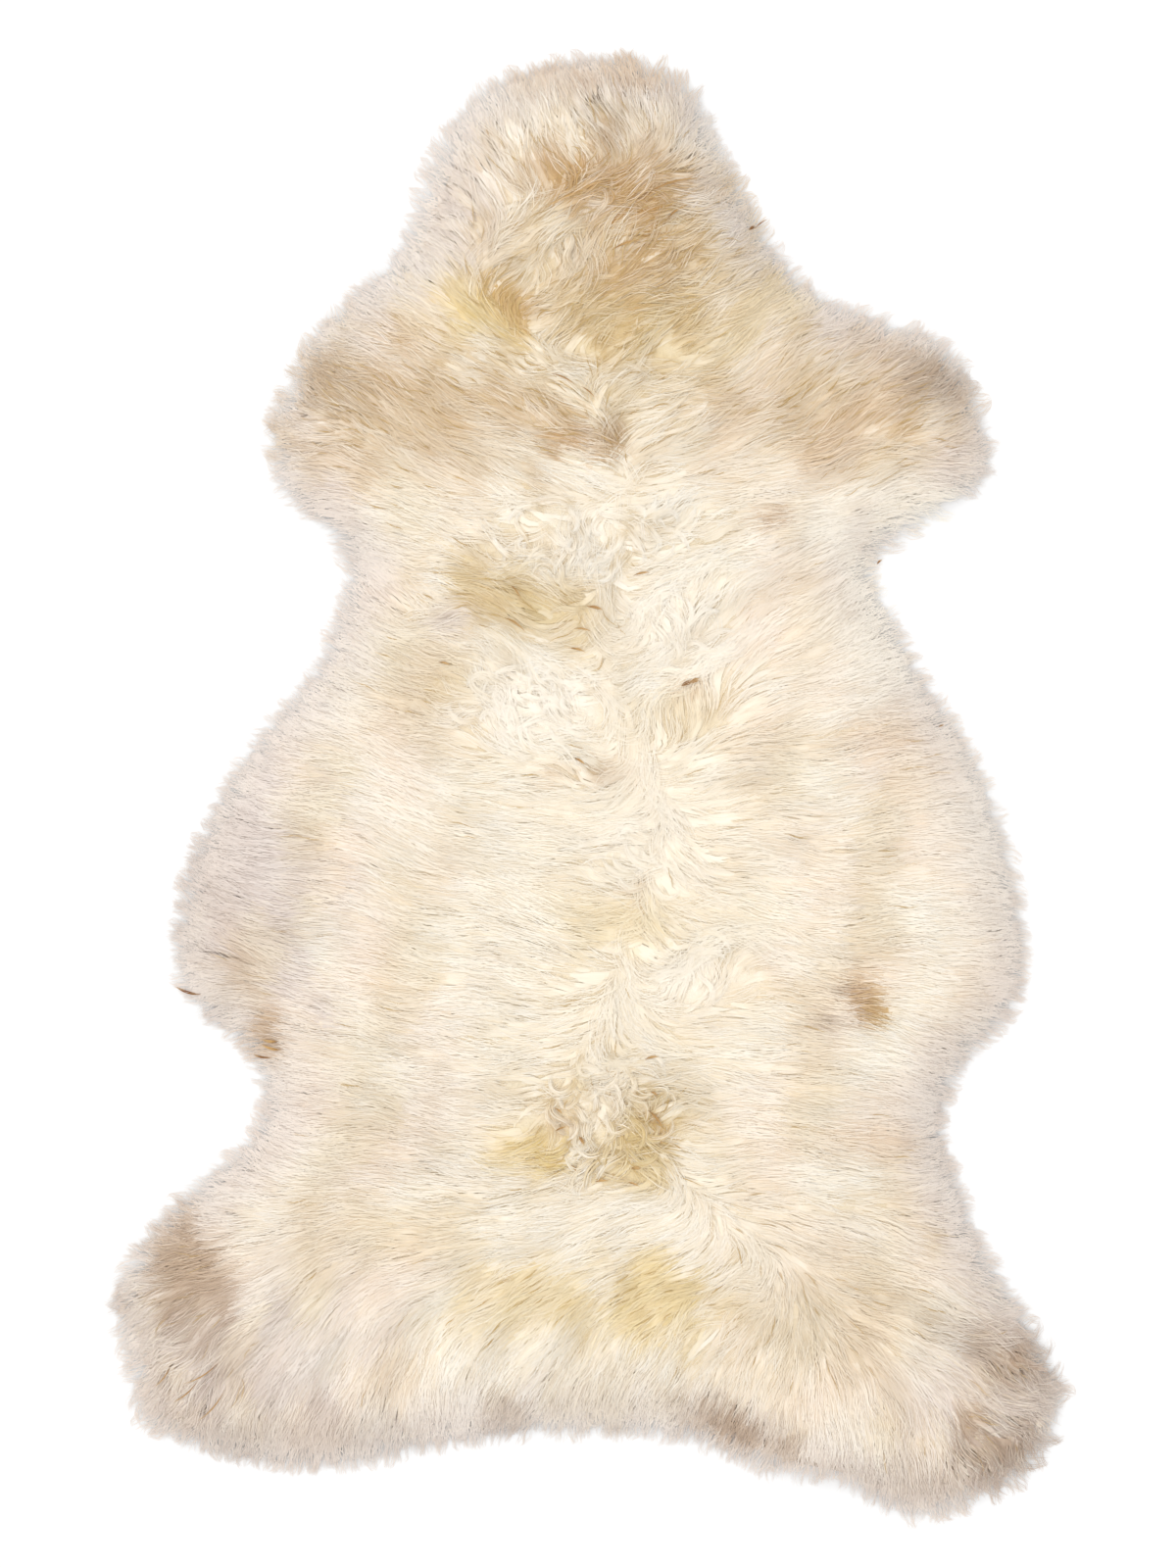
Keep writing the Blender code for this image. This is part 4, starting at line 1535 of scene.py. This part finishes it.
@dataclass(frozen=True)
class SuedeNap:
    """Sheepskin tanned and buffed on the flesh side: a matt nap with faint veins and shading."""

    name: str = "buffed suede"
    pale: str = "#E0CDB0"
    deep: str = "#C4A67F"
    roughness: float = 0.92
    nap: float = 0.9 * MM       # drawn about twice as coarse as the real nap, to show at all
    nap_share: float = 0.35     # how much of it shows beside the shading
    shading: float = 60.0 * MM  # where the nap was brushed one way or the other
    relief: float = 0.4 * MM

    def material(self) -> Any:
        """Mix two colours by broad brushed shading and a fine nap, with the nap as relief.

        Returns:
            The material.
        """
        material, tree, shader = new_material(self.name, {
            "Roughness": self.roughness,
            "Specular IOR Level": 0.15,
            "Sheen Weight": 0.3,
            "Sheen Roughness": 0.5,
        })
        place = add_node(tree, "TexCoord").outputs["Object"]
        broad = add_node(tree, "TexNoise", {
            "Vector": place, "Scale": 1.0 / self.shading, "Detail": 5.0, "Distortion": 0.8})
        fine = add_node(tree, "TexNoise", {
            "Vector": place, "Scale": 1.0 / self.nap, "Detail": 2.0})
        both = add_node(tree, "Math", {0: fine.outputs[0], 1: self.nap_share, 2: broad.outputs[0]},
                        operation="MULTIPLY_ADD")
        share = add_node(tree, "MapRange", {
            "Value": both.outputs[0], "From Min": 0.45, "From Max": 0.9})
        colour = add_node(tree, "Mix", {
            MIX_FACTOR: share.outputs[0], MIX_A: self.deep, MIX_B: self.pale}, data_type="RGBA")
        bump = add_node(tree, "Bump", {
            "Height": fine.outputs[0], "Strength": 0.4, "Distance": self.relief})
        set_inputs(tree, shader, {
            "Base Color": colour.outputs[MIX_RESULT], "Normal": bump.outputs[0]})
        return material


@dataclass(frozen=True)
class PaperFloor:
    """Matt white studio paper."""

    name: str = "white paper"
    colour: str = "#F3F3F3"     # just white enough to show pure white under these lights
    roughness: float = 0.9

    def material(self) -> Any:
        """A plain pale material."""
        return new_material(self.name, {
            "Base Color": self.colour, "Roughness": self.roughness,
            "Specular IOR Level": 0.1})[0]


# ---- The rug's pieces --------------------------------------------------------------------

def report(item: Any) -> None:
    """Log a finished piece with its triangles."""
    item.data.calc_loop_triangles()
    log.info("%s: %d triangles", item.name, len(item.data.loop_triangles))


@dataclass
class TannedHide:
    """The skin under the wool: one flat sheet, trimmed to the pelt's outline."""

    pelt: Pelt
    setback: float = 42.0 * MM
    thickness: float = 2.0 * MM
    count_across: int = 40
    count_along: int = 60
    flat_area: float = 0.394            # square metres of skin, measured on the solid

    def build(self) -> Any:
        """The sheet as a closed body: the same grid at two heights.

        Returns:
            The piece, on its body and standing for the hide's solid.
        """
        plan = self.pelt.patch(self.setback, self.count_across, self.count_along)
        low = np.concatenate([plan, np.zeros_like(plan[..., :1])], axis=-1)
        hide = closed_shell("tanned_hide", low + [0.0, 0.0, self.thickness], low)
        hide.data.materials.append(SuedeNap().material())
        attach(hide, ROOT_BODY)
        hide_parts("hide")
        return hide


@dataclass
class UnderwoolShell:
    """The matted wool under the locks: a lumpy shell that fills the coat's lower part."""

    coat: Coat
    setback: float = 15.0 * MM
    count_across: int = 80
    count_along: int = 118
    underside: float = 2.5 * MM
    share: float = 0.94
    rim_share: float = 0.5              # of that share, what is left at the shell's own rim
    full_depth: float = 52.0 * MM       # it has risen to all of it this far inside
    unevenness: float = 0.3 * MM
    lump: float = 18.0 * MM
    least_thickness: float = 1.0 * MM

    def build(self) -> Any:
        """A closed shell: a flat underside just above the hide, and a top at a share of the coat.

        Returns:
            The piece, on its body and standing for the fleece's solid.
        """
        plan = self.coat.pelt.patch(self.setback, self.count_across, self.count_along)
        flat = plan.reshape(-1, 2)
        depth = self.coat.depth(flat)
        share = rise_from(self.rim_share, smooth_step(depth, self.setback, self.full_depth))
        height = self.share * share * self.coat.top(flat)
        height += self.unevenness * ripple(flat, self.lump, Seed.UNDERWOOL)
        height = np.maximum(height, self.underside + self.least_thickness)
        top = np.column_stack([flat, height]).reshape(*plan.shape[:2], 3)
        low = np.column_stack([flat, np.full(len(flat), self.underside)]).reshape(top.shape)
        shell = closed_shell("underwool", top, low)
        add_tones(shell, np.tile(self.coat.tones(flat), (2, 1)))
        shell.data.materials.append(MattedUnderwool().material())
        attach(shell, ROOT_BODY)
        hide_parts("fleece")
        return shell


@dataclass
class LockPiece:
    """Wool that grows in locks as one piece. Each kind of it says what differs."""

    coat: Coat
    finish: Any
    name: str = ""
    seed: int = 0
    nearest: float = 0.0                # how far inside the outline the locks begin
    deepest: float = np.inf             # and how far inside it they end
    overhang: tuple[float, float] = (0.0, 0.0)
    style: LockStyle | None = None

    def choose(self, roots: Array, rng: np.random.Generator) -> Array:
        """The roots that grow: all of them, unless a kind says otherwise."""
        return roots

    def keep(self, paths: Array) -> Array:
        """The locks that stay: all of them, unless a kind says otherwise."""
        return paths

    def build(self) -> Any:
        """Grow the locks.

        Returns:
            The piece.
        """
        grower = LockGrower(self.coat, self.style, self.seed)
        roots = self.choose(grower.roots(self.nearest, self.deepest), grower.rng)
        wool = grower.strands(self.keep(grower.paths(roots, self.overhang)))
        return dress(wool.build(self.name), self.finish)


@dataclass
class BroadLocks(LockPiece):
    """Broad flat locks that close the coat, with their fibres drawn in the material."""

    name: str = "broad_locks"
    seed: int = Seed.BROAD_LOCKS
    nearest: float = 16.0 * MM
    overhang: tuple[float, float] = (-20.0 * MM, -6.0 * MM)
    style: LockStyle = LockStyle(
        spacing=8.5 * MM, strands=2, stations=6, lengths=(44.0 * MM, 76.0 * MM),
        radius=3.5 * MM, widths=(2.8 * MM, 4.8 * MM), gather=0.2, layer=0.8 * MM, crown=0.0,
        rolls=0.05, sink=1.3 * MM, reach=3.0 * MM, wander=0.8 * MM, root_lift=0.88,
        height_spread=0.3 * MM, curl_bend=1.0,
    )


@dataclass
class CombedFleece(LockPiece):
    """The fine combed strands that cover the rug, in bands from the head to the rump."""

    seed: int = Seed.FLEECE
    nearest: float = 12.0 * MM
    overhang: tuple[float, float] = (-13.0 * MM, 4.0 * MM)
    style: LockStyle = LockStyle(
        spacing=9.4 * MM, strands=9, stations=6, lengths=(44.0 * MM, 76.0 * MM),
        radius=7.0 * MM, widths=(0.3 * MM, 0.7 * MM), layer=1.2 * MM,
    )
    bands: tuple[tuple[str, float], ...] = (
        ("head_wool", 270.0 * MM), ("rib_wool", 20.0 * MM), ("belly_wool", -150.0 * MM),
        ("loin_wool", -330.0 * MM), ("rump_wool", -np.inf),
    )

    def build(self) -> list[Any]:
        """Grow the locks, and make a piece of each band.

        Returns:
            The pieces.
        """
        grower = LockGrower(self.coat, self.style, self.seed)
        roots = grower.roots(self.nearest, self.deepest)
        above, pieces = np.inf, []
        for name, below in self.bands:
            inside = (roots[:, 1] <= above) & (roots[:, 1] > below)
            wool = grower.strands(grower.paths(roots[inside], self.overhang))
            pieces.append(dress(wool.build(name), self.finish))
            above = below
        return pieces


@dataclass
class SpineCurls(LockPiece):
    """The tight curls that lie on the coat at the whorls along the spine."""

    name: str = "spine_curls"
    seed: int = Seed.CURLS
    nearest: float = 20.0 * MM
    overhang: tuple[float, float] = (-8.0 * MM, 0.0)
    style: LockStyle = LockStyle(
        spacing=12.5 * MM, strands=26, stations=9, lengths=(32.0 * MM, 54.0 * MM),
        radius=3.4 * MM, widths=(0.3 * MM, 0.6 * MM), gather=0.72, curl_bend=1.0, sway=0.2,
        turn_spread=0.2, root_lift=0.95, layer=1.6 * MM, crown=2.6 * MM, wander=0.4 * MM,
        centring=0.4, spine_centring=0.0, hook=5.5, hidden_root=0.1,
    )
    least_curl: float = 0.4

    def choose(self, roots: Array, rng: np.random.Generator) -> Array:
        """The roots at the whorls."""
        return roots[self.coat.whorl(roots)[1] > self.least_curl]


@dataclass
class RimWisps(LockPiece):
    """Thin wisps that fall from the rim to the floor and thin out past it."""

    name: str = "rim_wisps"
    seed: int = Seed.WISPS
    nearest: float = 4.0 * MM
    deepest: float = 42.0 * MM
    overhang: tuple[float, float] = (-5.0 * MM, 20.0 * MM)
    style: LockStyle = LockStyle(
        spacing=8.4 * MM, strands=10, stations=5, lengths=(34.0 * MM, 62.0 * MM),
        radius=7.0 * MM, widths=(0.22 * MM, 0.45 * MM), gather=0.6, turn_spread=0.22,
        bend_spread=0.4, layer=2.0 * MM, crown=0.5 * MM, root_lift=0.85,
    )
    longest_outside: float = 26.0 * MM

    def keep(self, paths: Array) -> Array:
        """The wisps that don't run along a notch.

        Args:
            paths: locks x stations x 2.

        Returns:
            Those whose steps outside the outline add up to no more than the longest.
        """
        steps = np.linalg.norm(np.diff(paths, axis=1), axis=2)
        outside = (steps * (self.coat.depth(paths[:, 1:]) < 0.0)).sum(axis=1)
        return paths[outside < self.longest_outside]


@dataclass
class PartingRootsAndShade(LockPiece):
    """The thin darker lines where the locks part, partly their yellow-brown roots and partly
    painted shade in the gaps.
    """

    name: str = "lock_partings_and_shade"
    seed: int = Seed.PARTINGS
    nearest: float = 24.0 * MM
    overhang: tuple[float, float] = (-20.0 * MM, -10.0 * MM)
    style: LockStyle = LockStyle(
        spacing=9.0 * MM, strands=3, stations=6, lengths=(12.0 * MM, 28.0 * MM),
        radius=0.6 * MM, widths=(0.3 * MM, 0.5 * MM), layer=0.2 * MM, crown=1.0 * MM,
        root_lift=1.0, tip_dip=0.0, hidden_root=0.0, spine_centring=0.0, wander=0.5 * MM,
        toned=0.3,
    )
    plain_share: float = 0.008
    warm_share: float = 0.7

    def choose(self, roots: Array, rng: np.random.Generator) -> Array:
        """A few of the roots, most of them in the olive, yellow and tan wool.

        Args:
            roots: x and y of each root.
            rng: draws which of them grow.

        Returns:
            The roots that grow.
        """
        tones = self.coat.tones(roots)
        warm = tones[:, [Tone.OLIVE, Tone.YELLOW, Tone.TAN]].sum(axis=1)
        share = self.coat.tousle(roots) * (self.plain_share + self.warm_share * warm)
        return roots[rng.uniform(0.0, 1.0, len(roots)) < share]


@dataclass
class BrownFlecks:
    """The small tufts of dark brown wool that stand out from the cream, and thin tan strokes
    in the gaps between tufts, partly roots and partly painted shade.
    """

    coat: Coat
    finish: Any
    strands: int = 14
    stations: int = 6
    starts: tuple[float, float] = (0.0, 0.3)
    ends: tuple[float, float] = (0.7, 1.0)
    lift: float = 1.4 * MM
    lift_depth: float = 20.0 * MM       # the tufts lie lower, the nearer they are to the rim
    least_lift: float = 0.4 * MM
    thickness: float = 0.2              # how thick a tuft is, as a share of its width
    width: float = 0.38 * MM
    bow: float = 0.08
    roll: float = 0.2
    shade_spread: float = 0.15

    def build(self) -> Any:
        """Lay each tuft on the coat: a spindle of strands, widest in its middle.

        Each strand runs along the tuft between two shares of its own. Its offset across the
        tuft is a share of half the width, times 1 - (2t - 1)^2 for t along the tuft, and all of
        them bow a little to one side.

        Returns:
            The piece.
        """
        rng = np.random.default_rng(Seed.FLECKS)
        rows = np.array([row[1:] for row in FLECKS], dtype=float).repeat(self.strands, axis=0)
        centre, (long, wide) = rows[:, :2] * MM, rows[:, 2:4].T * MM
        heading, paleness = rows[:, 4:].T
        ahead = ways(np.radians(heading))
        beside = np.column_stack([-ahead[:, 1], ahead[:, 0]])
        count = len(rows)
        start, end = rng.uniform(*self.starts, count), rng.uniform(*self.ends, count)
        t = start[:, None] + (end - start)[:, None] * np.linspace(0.0, 1.0, self.stations)
        hump = 1.0 - (2.0 * t - 1.0) ** 2
        aside = 0.5 * rng.uniform(-1.0, 1.0, count) * wide + self.bow * long
        plan = (centre[:, None] + ahead[:, None] * ((t - 0.5) * long[:, None])[..., None]
                + beside[:, None] * (aside[:, None] * hump)[..., None])
        height = self.coat.top(plan) + self.least_lift
        height += self.lift * smooth_step(self.coat.depth(plan), 0.0, self.lift_depth)
        height += self.thickness * (rng.uniform(0.0, 1.0, count) * wide)[:, None]
        wool = Strands(
            centres=np.dstack([plan, height]),
            widths=np.minimum(self.width, 0.5 * wide),
            rolls=rng.uniform(-self.roll, self.roll, (count, 1)) + 0.0 * height,
            shades=np.clip(
                paleness + self.shade_spread * rng.uniform(-1.0, 1.0, count), 0.0, 1.0),
            seeds=rng.uniform(0.0, 1.0, count),
            tones=np.zeros((count, self.stations, len(Tone))),
            begins=np.zeros(count),
        )
        return dress(wool.build("brown_flecks"), self.finish)


def dress(item: Any, material: Any) -> Any:
    """Give a piece of wool its material and put it on the rug.

    Args:
        item: the mesh object.
        material: its finish.

    Returns:
        The same object.
    """
    item.data.materials.append(material)
    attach(item, ROOT_BODY)
    return item


@dataclass
class Studio:
    """A white floor, soft light from above and a camera straight over the rug."""

    floor_size: float = 14.0
    floor_points: int = 9
    world_strength: float = 0.45
    key_energy: float = 0.6
    key_angle: float = math.radians(35.0)
    key_tilt: float = math.radians(50.0)
    key_turn: float = math.radians(38.0)
    overhead_energy: float = 1.95
    overhead_angle: float = math.radians(60.0)
    overhead_tilt: float = math.radians(8.0)
    camera_height: float = 3.2
    view_height: float = 1173.3 * MM
    view_plane: float = 30.0 * MM
    view_centre: tuple[float, float] = (-1.5 * MM, 3.55 * MM)
    sensor: float = 36.0
    farthest: float = 100.0

    def floor(self) -> Any:
        """A square grid at z = 0, which the rug lies on.

        Returns:
            The floor, kept out of the rug's own pieces.
        """
        side = np.linspace(-0.5, 0.5, self.floor_points) * self.floor_size
        x, y = np.meshgrid(side, side)
        points = np.stack([x, y, 0.0 * x], axis=-1).reshape(-1, 3)
        cells = grid_faces(self.floor_points, self.floor_points)
        floor = new_mesh("floor", points, cells.ravel(), np.full(len(cells), 4))
        floor.data.materials.append(PaperFloor().material())
        return floor

    def sun(self, name: str, energy: float, tilt: float, turn: float, angle: float) -> None:
        """Add a soft sun lamp.

        Args:
            name: the lamp's name.
            energy: its strength.
            tilt: its angle from straight overhead.
            turn: the bearing it shines from, counterclockwise from -Y.
            angle: how wide it looks, which softens its shadows.
        """
        lamp = bpy.data.lights.new(name, "SUN")
        lamp.energy = energy
        lamp.angle = angle
        item = bpy.data.objects.new(name, lamp)
        item.rotation_euler = (tilt, 0.0, turn)
        bpy.context.scene.collection.objects.link(item)

    def light(self) -> None:
        """An even white world, a soft key from the upper left and a wide light overhead."""
        world = bpy.data.worlds.new("studio")
        world.use_nodes = True
        back = world.node_tree.nodes["Background"]
        back.inputs["Color"].default_value = (1.0, 1.0, 1.0, 1.0)
        back.inputs["Strength"].default_value = self.world_strength
        bpy.context.scene.world = world
        self.sun("key", self.key_energy, self.key_tilt, math.pi + self.key_turn, self.key_angle)
        self.sun("overhead", self.overhead_energy, self.overhead_tilt, -self.key_turn,
                 self.overhead_angle)

    def camera(self) -> None:
        """A camera that looks straight down, with its frame fitted by height."""
        data = bpy.data.cameras.new("camera")
        data.sensor_fit = "VERTICAL"
        data.sensor_width = data.sensor_height = self.sensor
        distance = self.camera_height - self.view_plane
        data.lens = self.sensor * distance / self.view_height
        data.clip_end = self.farthest
        camera = bpy.data.objects.new("camera", data)
        camera.location = (*self.view_centre, self.camera_height)
        bpy.context.scene.collection.objects.link(camera)
        bpy.context.scene.camera = camera

    def build(self) -> None:
        """Set up floor, lights, camera and the plain view transform."""
        self.floor()
        self.light()
        self.camera()
        bpy.context.scene.view_settings.view_transform = "Standard"


def main() -> None:
    """Build the rug's pieces from the skin up, and then the studio round it."""
    logging.basicConfig(level=logging.INFO, format="%(name)s: %(message)s")
    pelt = Pelt()
    coat = Coat(pelt)
    wool = CombedWool("combed wool", fibres=2.0, contrast=0.04).material()
    broad = CombedWool("combed wool in broad locks", fibres=7.0, contrast=0.07,
                       root="#ECDDBF", tip="#F8F0DF").material()
    # The rim wool's greyer body and lilac-grey tip are painted shade of the thin wool at the rim.
    fringe = CombedWool("combed wool at the rim", fibres=2.0, contrast=0.05, root="#F2E2CA",
                        warm="#F3E7D8", body="#F8EFE5", tip="#EADFD6",
                        tones=ToneColours(lilac="#E6DBD3")).material()
    # Roots and painted shade in the gaps where the locks part.
    parting = CombedWool("parting roots and painted shade", fibres=2.0, contrast=0.1, root="#BC9A63",
                         warm="#BF9E68", body="#CDB07C", tip="#DCC597").material()
    brown = CombedWool("brown wool", fibres=2.0, contrast=0.2, root="#A37846", warm="#784014",
                       body="#CDA56C", tip="#D3B07E").material()

    skin = TannedHide(pelt)
    hide = skin.build()
    pieces = [
        UnderwoolShell(coat).build(), BroadLocks(coat, broad).build(),
        *CombedFleece(coat, wool).build(), SpineCurls(coat, wool).build(),
        RimWisps(coat, fringe).build(), PartingRootsAndShade(coat, parting).build(),
        BrownFlecks(coat, brown).build(),
    ]
    for piece in [hide, *pieces]:
        report(piece)

    Studio().build()


if __name__ == "__main__":
    main()
